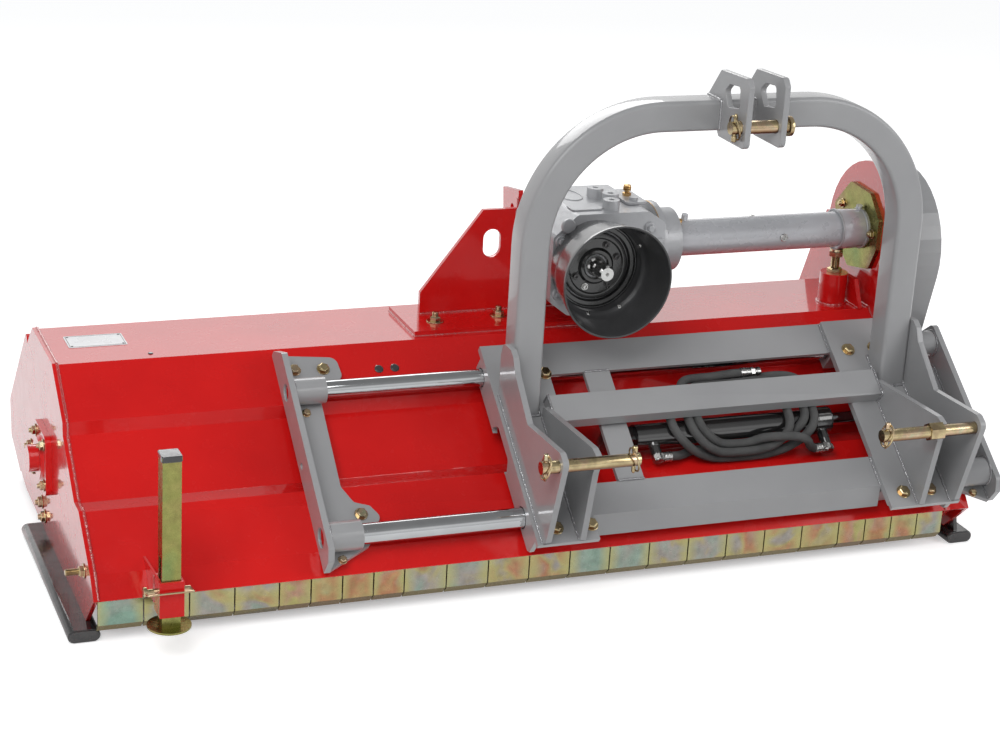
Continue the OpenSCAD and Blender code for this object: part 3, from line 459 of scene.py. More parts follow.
def rounded(points, radii, n=6):
    """An outline with a radius at each of its corners."""
    out = []
    count = len(points)
    for i in range(count):
        a, b, c = (Vector(points[(i + k) % count]) for k in (-1, 0, 1))
        u, v = (a - b).normalized(), (c - b).normalized()
        half = acos(max(-1, min(1, u.dot(v)))) / 2
        mid = b + (u + v).normalized() * radii[i] / sin(half)
        p = b + u * radii[i] / tan(half) - mid
        turn = (-1 if u.x * v.y - u.y * v.x > 0 else 1) * (pi - 2 * half)
        for k in range(n + 1):
            t = turn * k / n
            out.append((mid.x + p.x * cos(t) - p.y * sin(t),
                        mid.y + p.x * sin(t) + p.y * cos(t)))
    return out


def smooth_line(points, closed=False, step=4):
    """A Catmull-Rom line through the points."""
    n = len(points)
    out = []
    for i in range(n if closed else n - 1):
        if closed:
            a, b, c, d = (points[(i + k) % n] for k in (-1, 0, 1, 2))
        else:
            a, b, c, d = (points[min(max(i + k, 0), n - 1)] for k in (-1, 0, 1, 2))
        for k in range(step):
            t = k / step
            out.append(0.5 * (2 * b + (c - a) * t + (2 * a - 5 * b + 4 * c - d) * t * t
                              + (3 * b - a - 3 * c + d) * t ** 3))
    return out if closed else out + [points[-1]]


def even_line(points, gap):
    """The same line in steps of one length."""
    out = [points[0].copy()]
    left = gap
    for a, b in zip(points, points[1:]):
        d = (b - a).length
        at = 0
        while d - at >= left > 0:
            at += left
            out.append(a.lerp(b, at / d))
            left = gap
        left -= d - at
    if (out[-1] - points[-1]).length > gap * 0.3:
        out.append(points[-1].copy())
    return out


def girth(points, r, segs, side=None, closed=False, waist=None):
    """Rings of points round a line, each turned as little as can be from the last."""
    rings = []
    n = len(points)
    for i, p in enumerate(points):
        if closed:
            d = (points[(i + 1) % n] - points[i - 1]).normalized()
        else:
            d = (points[min(i + 1, n - 1)] - points[max(i - 1, 0)]).normalized()
        if side is None:
            side = d.orthogonal()
        side = (side - d * side.dot(d)).normalized()
        other = d.cross(side)
        k = r * MM * (waist(i, n) if waist else 1)
        turns = (on_circle(k, j, segs) for j in range(segs))
        rings.append([p + u * side + v * other for u, v in turns])
    return rings


def piece(name, mesh, body, slot, look=None):
    """A mesh with its finish, as an object that rides on a body."""
    mesh.materials.append(FINISH[look or slot])
    obj = put(name, mesh)
    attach(obj, body)
    return obj


class Kit:
    """Small parts of one finish, gathered into one mesh that rides on one body."""

    def __init__(self):
        self.verts, self.faces = [], []

    def skin(self, rings, loop=False):
        """Walls between rings of points, closed at both ends unless they form a loop."""
        start, n, count = len(self.verts), len(rings[0]), len(rings)
        for ring in rings:
            self.verts.extend(ring)
        for i in range(count if loop else count - 1):
            k = (i + 1) % count
            for j in range(n):
                a, b = start + i * n + j, start + i * n + (j + 1) % n
                c, d = start + k * n + (j + 1) % n, start + k * n + j
                self.faces.append((a, b, c, d))
        if not loop:
            self.faces.append(tuple(start + j for j in reversed(range(n))))
            self.faces.append(tuple(start + (count - 1) * n + j for j in range(n)))

    def lathe(self, seat, profile, segs=32, loop=False, turn=0):
        """Rings of (radius, height) round the frame's z."""
        self.skin([[seat @ (Vector((*on_circle(r, j, segs, turn), h)) * MM) for j in range(segs)]
                   for r, h in profile], loop)

    def hexagon(self, seat, r, h0, h1, turn=0):
        c = min(0.14 * r, (h1 - h0) * 0.3)
        self.lathe(seat, [(r, h0), (r, h1 - c), (r - 1.3 * c, h1)], 6, turn=turn)
        self.lathe(seat, [(r * 0.74, h1 - 0.02), (r * 0.7, h1 + 0.35)], 24)

    def bolt(self, at, axis, r, h, washer=0, stud=0, stud_r=0, turn=0.3):
        seat = frame_at(at, axis)
        w = 0
        if washer:
            w = 2.2
            self.lathe(seat, [(washer - 0.6, 0), (washer, 0.6), (washer, w - 0.5),
                           (washer - 0.6, w)], 32)
        self.hexagon(seat, r, w, w + h, turn)
        if stud:
            self.thread(seat, stud_r, w + h, w + h + stud)

    def thread(self, seat, r, h0, h1, pitch=1.75):
        rows = [(r * 0.9, h0)]
        h = h0
        while h < h1 - pitch:
            rows += [(r, h + pitch * 0.25), (r, h + pitch * 0.45), (r * 0.89, h + pitch * 0.75)]
            h += pitch
        rows += [(r * 0.9, h1 - 0.8), (r * 0.78, h1)]
        self.lathe(seat, rows, 20)

    def socket_screw(self, at, axis, r, h):
        self.lathe(frame_at(at, axis), [(r, 0), (r, h - 0.8), (r - 0.8, h), (r * 0.55, h),
                                        (r * 0.5, h - 0.4), (r * 0.5, h * 0.35)], 24)

    def tube(self, points, r, segs=8, closed=False, waist=None):
        self.skin(girth(points, r, segs, None, closed, waist), closed)

    def bead(self, points, r, closed=False):
        """A weld bead: overlapping ripples with a little wander."""
        line = even_line(list(points) + ([points[0]] if closed else []), 1.7 * MM)
        rng = random.Random(len(self.verts) + len(line))
        size = [rng.uniform(0.9, 1.1) for _ in range(len(line) // 3 + 2)]
        shift = [Vector([rng.uniform(-0.35, 0.35) * MM for _ in range(3)]) for _ in size]
        moved = [p + shift[i // 3] for i, p in enumerate(line)]
        self.tube(moved, r, waist=lambda i, n: size[i // 3] * (0.86, 1.06, 1)[i % 3]
                  * (0.5 if i in (0, n - 1) else 1))

    def plate(self, outline, seat, thick, edge=1):
        """An outline in the frame's xy, pushed up its z, with its edges broken."""
        flat = [Vector((*q, 0)) for q in outline]
        mid = sum(flat, Vector()) / len(flat)
        inner = 1 - edge / max((q - mid).length for q in flat)
        self.skin([[seat @ ((mid + (q - mid) * k + Z_AXIS * h) * MM) for q in flat]
                   for k, h in ((inner, 0), (1, edge), (1, thick - edge), (inner, thick))])

    def done(self, name, body, slot, look=None, hides=(), edge=0, sharp=30):
        mesh = bpy.data.meshes.new(name)
        mesh.from_pydata(self.verts, [], self.faces)
        work = bmesh.new()
        work.from_mesh(mesh)
        bmesh.ops.recalc_face_normals(work, faces=work.faces)
        work.to_mesh(mesh)
        work.free()
        mesh.shade_smooth()
        mesh.set_sharp_from_angle(angle=radians(sharp))
        obj = piece(name, mesh, body, slot, look)
        if edge:
            soften(obj, edge)
        if hides:
            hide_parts(*hides)
        return obj


def deck_welds():
    """Beads along the end plates, the gearbox mount, the jack socket and the stand."""
    kit = Kit()
    kit.bead([spot(9.5, y, z + 1.5) for y, z in HOOD], 3.4)
    kit.bead([spot(DRIVE_X - 1, y, z + 1) for y, z in HOOD], 3)
    # gearbox mount: cross plate, base and gusset
    x0, x1, y0, y1, on_base = INPUT_X - 336, INPUT_X + 64, 408, 574, TOP_Z + MOUNT_T
    kit.bead([spot(x, 511.5, on_base + PROUD) for x in (INPUT_X - 290, x1 - 4)], 3.4)
    kit.bead([spot(x, y, TOP_Z) for x, y in ((x0, y1), (x0, y0), (x1, y0), (x1, y1 - 2))], 2.6)
    gusset_x, gusset_y = INPUT_X - 82.5, 522
    kit.bead([spot(gusset_x, y, on_base) for y in (gusset_y, 572)], 2.6)
    kit.bead([spot(gusset_x, gusset_y, z) for z in (on_base + 2, 560)], 2.6)
    # jack socket, the web beside it and the stand's socket
    kit.bead(circle(spot(JACK_X, CROSS[0], TOP_Z + 1), 31, Z_AXIS), 3, True)
    kit.bead([spot(JACK_X + 33.5, y, TOP_Z + 1) for y in (388, 504)], 2.6)
    for x in (STAND_X - 22.5, STAND_X + 22.5):
        kit.bead([spot(x, -36.5, z) for z in (6, 60)], 1.8)
    kit.done("deck_welds", "deck", "red_paint", "red_weld", sharp=180)


def bracket_welds():
    """Beads round the rods and along the flanges of the slide brackets."""
    kit = Kit()
    ends = (LEFT_X + BRACKET_T + PROUD, RIGHT_X - BRACKET_T - PROUD)
    for x in ends:
        for centre, r in ((ROD_LOW, 29.5), (ROD_UP, 27)):
            kit.bead(circle(face(x, *centre), r), 2.6, True)
    for x, top in zip(ends, (462, 326)):
        kit.bead([face(x, s, FLANGE_T + PROUD) for s in (-2, top)], 2.6)
    kit.done("bracket_welds", "deck", "grey_paint", "grey_weld", sharp=180)


def carriage_welds():
    """Beads of the headstock's lugs, carriers, middle tube, arch and strut."""
    kit = Kit()
    on_base, on_plate, on_arch = BASE_N + PROUD, PLATE_N + PROUD, ARCH_TOP + PROUD
    lug, leg_end = LUG_T + PROUD, LEG_X_R + ARCH_W
    for x in (LEG_X - lug, LEG_X + PROUD, leg_end - PROUD, leg_end + lug):
        kit.bead([face(x, s, on_base) for s in (-28, 305)], 3.3)
    for x in (LUG_IN - lug, LUG_IN + PROUD, LUG_IN_R - PROUD, LUG_IN_R + lug):
        kit.bead([face(x, s, on_base) for s in (-28, 246)], 3)
    # ends of the two carriers, then of the middle tube
    for x in (LUG_IN + 31.5, LUG_IN_R - 61.5):
        for carrier in ((26, 95), (348, 420)):
            kit.bead([face(x, s, on_plate) for s in carrier], 2.8)
    tube = ((217.5, 71), (217.5, 98.5), (278.5, 98.5), (278.5, 71))
    for x in (LUG_IN + 0.8, LUG_IN_R - 0.8):
        kit.bead([face(x, s, n) for s, n in tube], 2.6)
    # feet of the arch, and the top link plates on it
    for x0 in (LEG_X, LEG_X_R):
        foot = ((x0, 251), (x0 + ARCH_W, 251), (x0 + ARCH_W, 327), (x0, 327))
        kit.bead([face(x, s, on_base) for x, s in foot], 3.2, True)
    outer, inner = TOP_IN + TOP_T + PROUD, TOP_IN - PROUD
    edge = ((156, 784), (156, 838), (160, on_arch), (216, on_arch))
    for x in (HEAD_X - outer, HEAD_X + outer):
        kit.bead([spot(x, y, z) for y, z in edge], 3.2)
    for x in (HEAD_X - inner, HEAD_X + inner):
        kit.bead([spot(x, y, on_arch) for y in (158, 216)], 2.6)
    # strut that holds the eye of the cylinder
    for s in (95.5, 347.5):
        kit.bead([face(x, s, 62.5) for x in (EYE_X - 27, EYE_X + 28)], 2.4)
    kit.done("carriage_welds", "headstock", "grey_paint", "grey_weld", sharp=180)


def linchpin(kit, x, c, flip=1, lean=1):
    """A pin down through the bar, its head, and the sprung ring that snaps over the end."""
    y, z = c
    seat = frame_at(spot(x, y, z), Z_AXIS * flip, X_AXIS)
    kit.lathe(seat, [(1.2, -27.5), (3.2, -25), (4.1, -22), (4.1, 14), (5.5, 15.5), (5.5, 25.5),
                  (4.4, 27.2)], 20)
    ring = []
    for k in range(33):
        a = radians(96 + 348 * k / 32)
        ring.append(spot(x + lean * sin(a) * 5, y + 20.5 * cos(a),
                         z + flip * (22.5 * sin(a))))
    kit.tube(ring, 1.8, 10)


# each bolt head is turned its own way
SPIN = random.Random(5)


def carriage_bolts():
    """Bolts with washers on the base of the headstock, and the four linchpins."""
    kit = Kit()
    for s in (2, 346):
        for x in (END_X + 46, LUG_IN + 21, LUG_IN_R - 23, LUG_IN_R + 38):
            kit.bolt(face(x, s, BASE_N), OUT_SLOPE, 11.5, 7.6, 14.5, turn=SPIN.random())
    linchpin(kit, LEG_X - 37, LINK_PIN)
    linchpin(kit, LUG_IN + 66, LINK_PIN, lean=-1)
    linchpin(kit, LUG_IN_R - 123, LINK_PIN)
    linchpin(kit, HEAD_X - 54, TOP_PIN, flip=-1)
    kit.done("carriage_bolts", "headstock", "zinc_plate", "zinc_gold",
             ("headstock_fasteners",), 0.3)


def deck_bolts():
    """Bolts of the deck, with washers and thread ends, and the jack screw."""
    kit = Kit()
    # slide brackets
    for x, s in ((LEFT_X + 34, 433), (LEFT_X + 92, 431), (LEFT_X + 95, 104), (RIGHT_X - 91, 104)):
        kit.bolt(face(x, s, FLANGE_T), OUT_SLOPE, 10.5, 7.4, 13, turn=SPIN.random())
    for x, s in ((LEFT_X + 37, 334), (LEFT_X + 38, 12), (RIGHT_X - 43, 13)):
        kit.bolt(face(x, s, FLANGE_T), OUT_SLOPE, 7.5, 6, 9, turn=SPIN.random())
    # left end plate: round the rotor bearing, behind it and ahead of it
    for y, z in ((-42, -42), (-42, 42), (42, -42), (42, 42)):
        kit.bolt(spot(-12, ROTOR[0] + y, ROTOR[1] + z), LEFT, 9.5, 7, 12, 5, 5, SPIN.random())
    for y, z in ((634, 55), (516, -20), (484, -38)):
        kit.bolt(spot(0, y, z), LEFT, 11, 7.5, 14, 5, 6, SPIN.random())
    kit.bolt(spot(0, 83, 25), LEFT, 11, 8, 14, 25, 6.5, 0.4)
    # base of the gearbox mount
    for x, y in ((INPUT_X - 274, 461), (INPUT_X - 132, 472)):
        kit.bolt(spot(x, y, TOP_Z + MOUNT_T), Z_AXIS, 12, 9, 18, 10, 7, SPIN.random())
    # jack screw with its two nuts
    seat = frame_at(spot(JACK_X, CROSS[0], 0))
    tube_z = CROSS[1] - 38
    kit.thread(seat, 9.6, TOP_Z + 14, tube_z - 15, 2.4)
    kit.hexagon(seat, 16.5, tube_z - 22, tube_z - 10, 0.5)
    kit.hexagon(seat, 16.5, TOP_Z + 68.3, TOP_Z + 78, 0.2)
    kit.lathe(seat, [(14, tube_z - 11), (14, tube_z - 5.2)], 24)
    # flange of the cross tube, and the belt guard
    for y, z in ((395.8, 478.4), (530.4, 509.9)):
        kit.bolt(spot(DRIVE_X - 10, y, z), LEFT, 8.5, 6, 11, 4, 5, SPIN.random())
    kit.bolt(spot(DECK_W - 7, 352, 604), Vector((0, -0.45, 0.9)), 7, 5, 9)
    kit.done("deck_bolts_detail", "deck", "zinc_plate", "zinc_gold", ("deck_bolts",), 0.25)


def stand_pin():
    """The pin through the socket of the stand, and the bail wire that holds it."""
    kit = Kit()
    seat = frame_at(spot(STAND_X - 48, STAND_Y, STAND_PIN_Z), X_AXIS)
    kit.lathe(seat, [(7.5, 0), (10.5, 1.2), (10.5, 7), (8, 8), (6, 8.2), (6, 83), (5, 86.5),
                  (2.5, 88)], 28)
    wire = [(80, -60, 38), (80, -70, 40), (80, -84, 43), (84, -88, 44), (110, -88.5, 45),
            (150, -88.5, 45), (160, -88, 45), (163, -84, 44), (163, -70, 41), (163, -57, 39),
            (163, -52, 35), (163, -55, 31)]
    kit.tube(smooth_line([spot(*q) for q in wire]), 2, 10)
    kit.done("stand_pin_detail", "deck", "zinc_plate", "zinc_gold", ("stand_pin",))


def leg_cap():
    kit = Kit()
    seat = frame_at(spot(STAND_X, STAND_Y, 289.5), Z_AXIS, Y_AXIS)
    kit.plate(box_outline(-18.8, 18.8, -18.8, 18.8, 3.5), seat, 12, 1.6)
    kit.done("leg_cap", "stand", "guard_plastic", "cap_plastic")


def runner_plugs():
    """Plugs that close the ends of the skid runners."""
    kit = Kit()
    for x0 in SKIDS_X:
        for y, way in ((36.5, 1), (528.5, -1)):
            seat = frame_at(spot(x0 + SKID_W / 2, y, SKID_H / 2 - RIDE), Y_AXIS * -way)
            kit.plate(box_outline(-28.6, 28.6, -11.1, 11.1, 11, 8), seat, 4, 1.2)
            rim = [seat @ (Vector((*q, 0.6)) * MM)
                   for q in box_outline(-28, 28, -10.6, 10.6, 10.5, 4)]
            kit.bead(smooth_line(rim, True, 2), 1.5, True)
    kit.done("runner_plugs", "deck", "dark_steel", "skid_steel", sharp=40)


def rating_plate():
    """The plate on the deck, with nothing on it."""
    kit = Kit()
    kit.plate(box_outline(*RATING, 4), flat_at(TOP_Z), RATING_T, 0.3)
    kit.done("blank_plate", "deck", "pale_paint", "plate_white")


def plate_frame():
    """The printed frame and rivets of the plate, and the plugs of the hood."""
    kit = Kit()
    x0, x1, y0, y1 = RATING[0] + 3, RATING[1] - 3, RATING[2] + 3, RATING[3] - 3
    line = 1.2
    for box in ((x0, x1, y0, y0 + line), (x0, x1, y1 - line, y1), (x0, x0 + line, y0, y1),
                (x1 - line, x1, y0, y1)):
        kit.plate(box_outline(*box, 0.4, 2), flat_at(TOP_Z + RATING_T), 0.25, 0.08)
    for y in (y0 + 4.5, y1 - 4.5):
        for x in (x0 + 4.5, x1 - 4.5):
            kit.lathe(frame_at(spot(x, y, TOP_Z + RATING_T)),
                      [(2.4, 0), (2.1, 0.7), (1, 1.2)], 16)
    kit.lathe(frame_at(spot(195, 415, TOP_Z)), [(5, 0), (5, 1), (4, 2.2), (1.5, 2.8)], 20)
    for x in (635, 668):
        kit.lathe(frame_at(face(x, 428, 0), OUT_SLOPE), [(9, 0), (9, 1.5), (7, 3), (2, 3.6)], 20)
    kit.done("plate_frame_and_plugs", "deck", "guard_plastic", "cap_plastic")


def bearing_shoulder():
    """The round shoulder of the bearing housing on the left end plate."""
    kit = Kit()
    kit.lathe(frame_at(spot(-12, *ROTOR), LEFT), [(47, -0.5), (45, 3), (43, 5), (43, 6)], 48)
    kit.done("bearing_shoulder", "deck", "red_paint")


def gearbox_casting():
    """Cover, ribs, bosses and screws cast with the gearbox or painted with it."""
    kit = Kit()
    top = flat_at(GEARBOX_TOP)
    kit.plate(box_outline(INPUT_X - 42, INPUT_X + 26, 330, 372, 10), top, 3, 1)
    kit.plate(box_outline(INPUT_X + 86, INPUT_X + 132, 352, 456, 9), top, 6, 1.4)
    turns = (on_circle(1, k, 40) for k in range(40))
    kit.tube([spot(INPUT_X - 2 + 24 * u, 446 + 40 * v, GEARBOX_TOP + 0.2) for u, v in turns],
             1.6, 8, True)
    kit.lathe(frame_at(spot(INPUT_X - 61.1, GEARBOX_FRONT - PROUD, GEARBOX_TOP - 20.8), FRONT),
              [(15, 0), (15, 5), (13, 7), (6, 7.4)], 32)
    for k in range(6):
        u, v = on_circle(74, k, 6, radians(30))
        kit.socket_screw(spot(NECK_X + 14, CROSS[0] + u, CROSS[1] + v), X_AXIS, 6, 5)
    for z in (440, 516):
        kit.plate(box_outline(INPUT_X + 70, INPUT_X + 150, 297, 306, 3), flat_at(z), 9, 1.6)
    for x, z in ((INPUT_X - 74, 420), (INPUT_X - 74, 530), (INPUT_X + 118, 400),
                 (INPUT_X + 118, 548)):
        kit.lathe(frame_at(spot(x, GEARBOX_FRONT, z), FRONT), [(13, -1), (12, 4), (11, 5)], 28)
        kit.bolt(spot(x, GEARBOX_FRONT - 5, z), FRONT, 8, 6)
    # rings on the cross tube
    for x in (DRIVE_X - 74, DRIVE_X - 16):
        kit.tube(circle(spot(x, *CROSS), 42.5), 2.4, 10, True)
    kit.tube(circle(spot(NECK_X + 55, *CROSS), 40), 4, 10, True)
    kit.done("gearbox_detail", "deck", "cast_alloy", edge=0.4, sharp=35)


def gearbox_brass():
    """Breather, fitting on the collar, and the shim that shows at the neck."""
    kit = Kit()
    seat = frame_at(spot(INPUT_X + 108, 405, GEARBOX_TOP + 5))
    kit.hexagon(seat, 9, 0, 8)
    kit.lathe(seat, [(5, 8), (5, 12), (8.5, 12.5), (8.5, 15), (6.5, 15.6), (8.5, 16.4), (8.5, 19),
                  (6.5, 19.6), (8, 20.4), (7.2, 23.5), (3, 24.5)], 24)
    kit.bolt(spot(NECK_X + 63, 430, 512), Vector((0.2, -0.5, 0.85)), 7.5, 6, 0, 9, 5)
    kit.tube(circle(spot(NECK_X + 0.2, *CROSS), 82.2, n=64), 0.9, 8, True)
    kit.done("gearbox_brass", "deck", "zinc_plate", "brass", edge=0.2)


def tube_screw():
    """Screw and plug of the cross tube."""
    kit = Kit()
    kit.socket_screw(spot(DRIVE_X - 217, CROSS[0] - 37.5, CROSS[1]), FRONT, 8.5, 5)
    kit.lathe(frame_at(spot(DRIVE_X - 273, 454, CROSS[1] + 36.8)),
              [(6, 0), (6, 1.6), (4, 2.2)], 20)
    kit.done("tube_screw", "deck", "bright_steel", edge=0.2)


def guard_cover():
    """Black stepped cover behind the guard of the input shaft."""
    kit = Kit()
    seat = frame_at(spot(INPUT_X, 297.2, CROSS[1]), FRONT)
    kit.lathe(seat, [(24, 0), (24, 4), (27, 7), (33, 7.5), (36, 5), (38, 3), (56, 3), (59, 5.5),
                  (64, 6), (68, 4.5), (69.5, 0)], 72, True)
    kit.lathe(seat, [(88.5, -4), (88.5, 6), (86, 8), (84, 8), (82, 4), (75, 3.5), (73, -4)],
              72, True)
    for a in (radians(195), radians(300)):
        kit.tube([seat @ (Vector((r * cos(a + d), r * sin(a + d), 3.4)) * MM)
                  for r, d in ((38, 0), (42, 0.1), (47, 0.14), (52, 0.1), (56, 0))], 2.2, 8)
    kit.done("guard_cover", "deck", "guard_plastic", "black_gloss")


def guard_screws():
    """Screws of the cover, four in dark steel as painted shade and one in bright steel as a
    painted highlight, and the guard's own bright screws.
    """
    bright, painted_shade_screws = Kit(), Kit()
    cover_r, guard_r = 47, 94.5
    for x, z in ((-56.8, -24.7), (-24.3, -48.9), (26.2, 58.9), (56, 22), (35, -48)):
        d = Vector((x, z)).normalized() * cover_r
        at = spot(INPUT_X + d.x, 294.2, CROSS[1] + d.y)
        # painted highlight and shade: the cover screws are alike, but one is made bright steel
        # and the rest dark steel
        one = bright if (x, z) == (-24.3, -48.9) else painted_shade_screws
        one.lathe(frame_at(at, FRONT), [(8, 0), (7.4, 1.4)], 24)
        one.socket_screw(at + FRONT * 1.2 * MM, FRONT, 5.6, 5)
    painted_shade_screws.done("cover_screws", "deck", "dark_steel", edge=0.2)
    for t in (-104, -60, 30, 120, 200):
        a = radians(t)
        at = spot(INPUT_X + guard_r * cos(a), 268, CROSS[1] + guard_r * sin(a))
        bright.bolt(at, Vector((-cos(a), -0.8, -sin(a))), 5, 3.5, 6.5)
    bright.done("guard_screws", "deck", "bright_steel", edge=0.2)


def splined_shaft():
    """Input shaft with six splines, its locking groove and its centre hole."""
    rows = [(240.5, 1.2, 1.2), (236.2, 2.6, 2.6), (234.8, 3.8, 3.8), (234.8, 13.4, 13.6),
            (237.4, 14.6, 17.3), (262, 14.7, 17.4), (264, 14.2, 14.4), (269, 14.2, 14.4),
            (271, 14.7, 17.4), (289, 14.7, 17.4), (291, 19.5, 19.6), (292, 20.4, 20.4),
            (428, 20.4, 20.4)]
    rings = []
    for y, root, tip in rows:
        radii = [tip if abs((j % 16) - 7.5) < 4 else root for j in range(96)]
        points = (on_circle(r, j, 96) for j, r in enumerate(radii))
        rings.append([spot(INPUT_X + u, y, CROSS[1] + v) for u, v in points])
    kit = Kit()
    kit.skin(rings)
    kit.done("splined_shaft", "input", "bright_steel", hides=("pto_shaft",), sharp=28)


def base_z(y):
    """The height of the headstock's sloping base at a place y."""
    return SLOPE_Z + (BASE_N + y * sin(SLOPE_A)) / cos(SLOPE_A)


def arch_tube():
    """The square tube of the arch, with rounded corners and two bends."""
    half, bend_z = ARCH_W / 2, ARCH_TOP - ARCH_R
    line = [(LEG_X + half, base_z(ARCH_Y), (1, 0)), (LEG_X + half, bend_z, (1, 0))]
    for centre, start, first in ((LEG_X + ARCH_R, 180, 1), (LEG_X_R + ARCH_W - ARCH_R, 90, 0)):
        for k in range(first, 33):
            a = radians(start - 90 * k / 32)
            line.append((centre + (ARCH_R - half) * cos(a),
                         bend_z + (ARCH_R - half) * sin(a), (-cos(a), -sin(a))))
    line.append((LEG_X_R + half, base_z(ARCH_Y), (-1, 0)))
    rings = []
    for i, (x, z, inward) in enumerate(line):
        ring = []
        for u, v in box_outline(-half, half, -half, half, 8.5, 5):
            y = ARCH_Y + v
            foot = i in (0, len(line) - 1)
            ring.append(spot(x + u * inward[0], y, base_z(y) if foot else z + u * inward[1]))
        rings.append(ring)
    kit = Kit()
    kit.skin(rings)
    kit.done("arch_tube", "headstock", "grey_paint", hides=("mast_arch",), sharp=32)


def sheet_plate(name, outlines, seat, thick, body, slot, edge):
    """A flat plate with holes: filled outlines in the frame's xy, thick along its z."""
    data = bpy.data.curves.new(name, "CURVE")
    data.dimensions = "2D"
    data.fill_mode = "BOTH"
    for outline in outlines:
        line = data.splines.new("POLY")
        line.points.add(len(outline) - 1)
        for point, q in zip(line.points, outline):
            point.co = (q[0] * MM, q[1] * MM, 0, 1)
        line.use_cyclic_u = True
    data.extrude = (thick / 2 - edge) * MM
    data.bevel_depth = edge * MM
    data.bevel_resolution = 2
    data.offset = -edge * MM
    shape = put(name + "_outline", data)
    bpy.context.view_layer.update()
    mesh = bpy.data.meshes.new_from_object(shape.evaluated_get(
        bpy.context.evaluated_depsgraph_get()))
    bpy.data.objects.remove(shape)
    mesh.transform(seat @ Matrix.Translation((0, 0, thick / 2 * MM)))
    mesh.materials.clear()
    mesh.shade_smooth()
    mesh.set_sharp_from_angle(angle=radians(35))
    piece(name, mesh, body, slot)


def top_link_plates():
    outline = rounded([(50, 770), (161, 770), (219, 841), (171, 899), (62, 905), (50, 890)],
                      (12, 4, 4, 10, 10, 6))
    window = rounded([(82, 843), (130, 835), (148, 863), (130, 879), (88, 883)], (8,) * 5)
    turns = (on_circle(12.8, k, 48) for k in range(48))
    hole = [(TOP_PIN[0] + u, TOP_PIN[1] + v) for u, v in turns]
    for n, x in enumerate((HEAD_X - TOP_IN - TOP_T, HEAD_X + TOP_IN)):
        # the frame's x and y are the design's y and z, and its z points along X
        seat = Matrix(((0, 0, 1), (1, 0, 0), (0, 1, 0))).to_4x4()
        seat.translation = spot(x, 0, 0)
        sheet_plate("top_link_plate_%d" % (n + 1), (outline, window, hole), seat, TOP_T,
                    "headstock", "grey_paint", 1.6)


# hydraulic hoses, on the same route as in the part's source
HOSE_R = 9


def soft(v):
    """Squares a circle a little."""
    return copysign(abs(v) ** 0.6, v)


def loops(way, a0, half_x, low_n, half_s=66, high_n=60.4, widen=19.5):
    """One and a half widening loops, low where they pass under the middle tube."""
    out = []
    for i in range(37):
        t = i / 24
        a, w = radians(a0 + 360 * t), widen * t
        out.append((BARREL_X0 + 228 + way * (half_x + w) * soft(cos(a)),
                    236 + (half_s + w) * soft(sin(a)),
                    low_n + (high_n - low_n) * (1 - abs(sin(a)) ** 3.4)))
    return out


LOOPS_A, LOOPS_B = loops(1, 262, 140, 10), loops(-1, 268, 92, 30)
END_A, END_B = LOOPS_A[-1], LOOPS_B[-1]
HOSE_A = [(PORT_A + 12, PORT_A_S, RAM[1]), (PORT_A + 30, PORT_A_S, RAM[1]),
          (PORT_A + 60, 166, 12), (PORT_A + 90, 175, 10)] + LOOPS_A + \
         [(END_A[0] - 22, END_A[1], 10), (END_A[0] - 42, END_A[1], 10)]
HOSE_B = [(PORT_B - 12, PORT_B_S, RAM[1]), (PORT_B - 30, PORT_B_S, RAM[1]),
          (PORT_B - 46, PORT_B_S, 38), (PORT_B - 58, 149, 56), (PORT_B - 83, 153, 67),
          (PORT_B - 113, 158, 65), (PORT_B - 138, 165, 54), (PORT_B - 155, 170, 41)] + LOOPS_B + \
         [(END_B[0] + 20, END_B[1], 33), (END_B[0] + 42, END_B[1], 36),
          (END_B[0] + 62, END_B[1], 36)]


def sleeve(name, path, r, segs=24):
    """A hose with its length and girth as UV, so that the weave follows it."""
    verts = [v for ring in girth(path, r, segs, OUT_SLOPE.copy()) for v in ring]
    faces, uvs = [], []
    n = len(path)
    run = [0.0]
    for a, b in zip(path, path[1:]):
        run.append(run[-1] + (b - a).length)
    for i in range(n - 1):
        for j in range(segs):
            k = (j + 1) % segs
            faces.append((i * segs + j, (i + 1) * segs + j, (i + 1) * segs + k, i * segs + k))
            uvs += [(run[i], j / segs), (run[i + 1], j / segs), (run[i + 1], (j + 1) / segs),
                    (run[i], (j + 1) / segs)]
    faces.append(tuple(range(segs)))
    uvs += [(0, j / segs) for j in range(segs)]
    faces.append(tuple(reversed([(n - 1) * segs + j for j in range(segs)])))
    uvs += [(run[-1], j / segs) for j in range(segs)]
    mesh = bpy.data.meshes.new(name)
    mesh.from_pydata(verts, [], faces)
    layer = mesh.uv_layers.new(name="along")
    for loop, uv in zip(layer.data, uvs):
        loop.uv = (uv[0] * 10, uv[1])
    mesh.shade_smooth()
    return piece(name, mesh, "headstock", "rubber_black", "hose_sleeve"), run[-1]


def fitting(name, start, end, is_port):
    """Crimped ferrule and hexagon nut at one end of a hose."""
    kit = Kit()
    seat = frame_at(start, end - start, OUT_SLOPE)
    long = (end - start).length / MM
    if is_port:
        kit.lathe(seat, [(7.5, -13), (7.5, -9)], 24)
        kit.hexagon(seat, 11.2, -10, 0, 0.2)
        kit.lathe(seat, [(8.6, 0), (10.2, 0.8), (10.2, 3), (9.6, 3.6), (10.2, 4.2), (10.2, 9),
                      (9.6, 9.6), (10.2, 10.2), (10.2, 16.5), (9.2, 17.5)], 32)
    else:
        kit.lathe(seat, [(9.2, -1), (10.3, 0), (10.3, 12), (9.7, 12.6), (10.3, 13.2), (10.3, 20),
                      (8.6, 21), (8.6, 24)], 32)
        kit.hexagon(seat, 10.4, 23, 33, 0.4)
        kit.lathe(seat, [(8, 33), (8, 36), (9.8, 36.4), (9.8, long - 1), (9, long), (6, long),
                      (5.6, long - 5)], 28)
    return kit.done(name, "headstock", "bright_steel", edge=0.25)


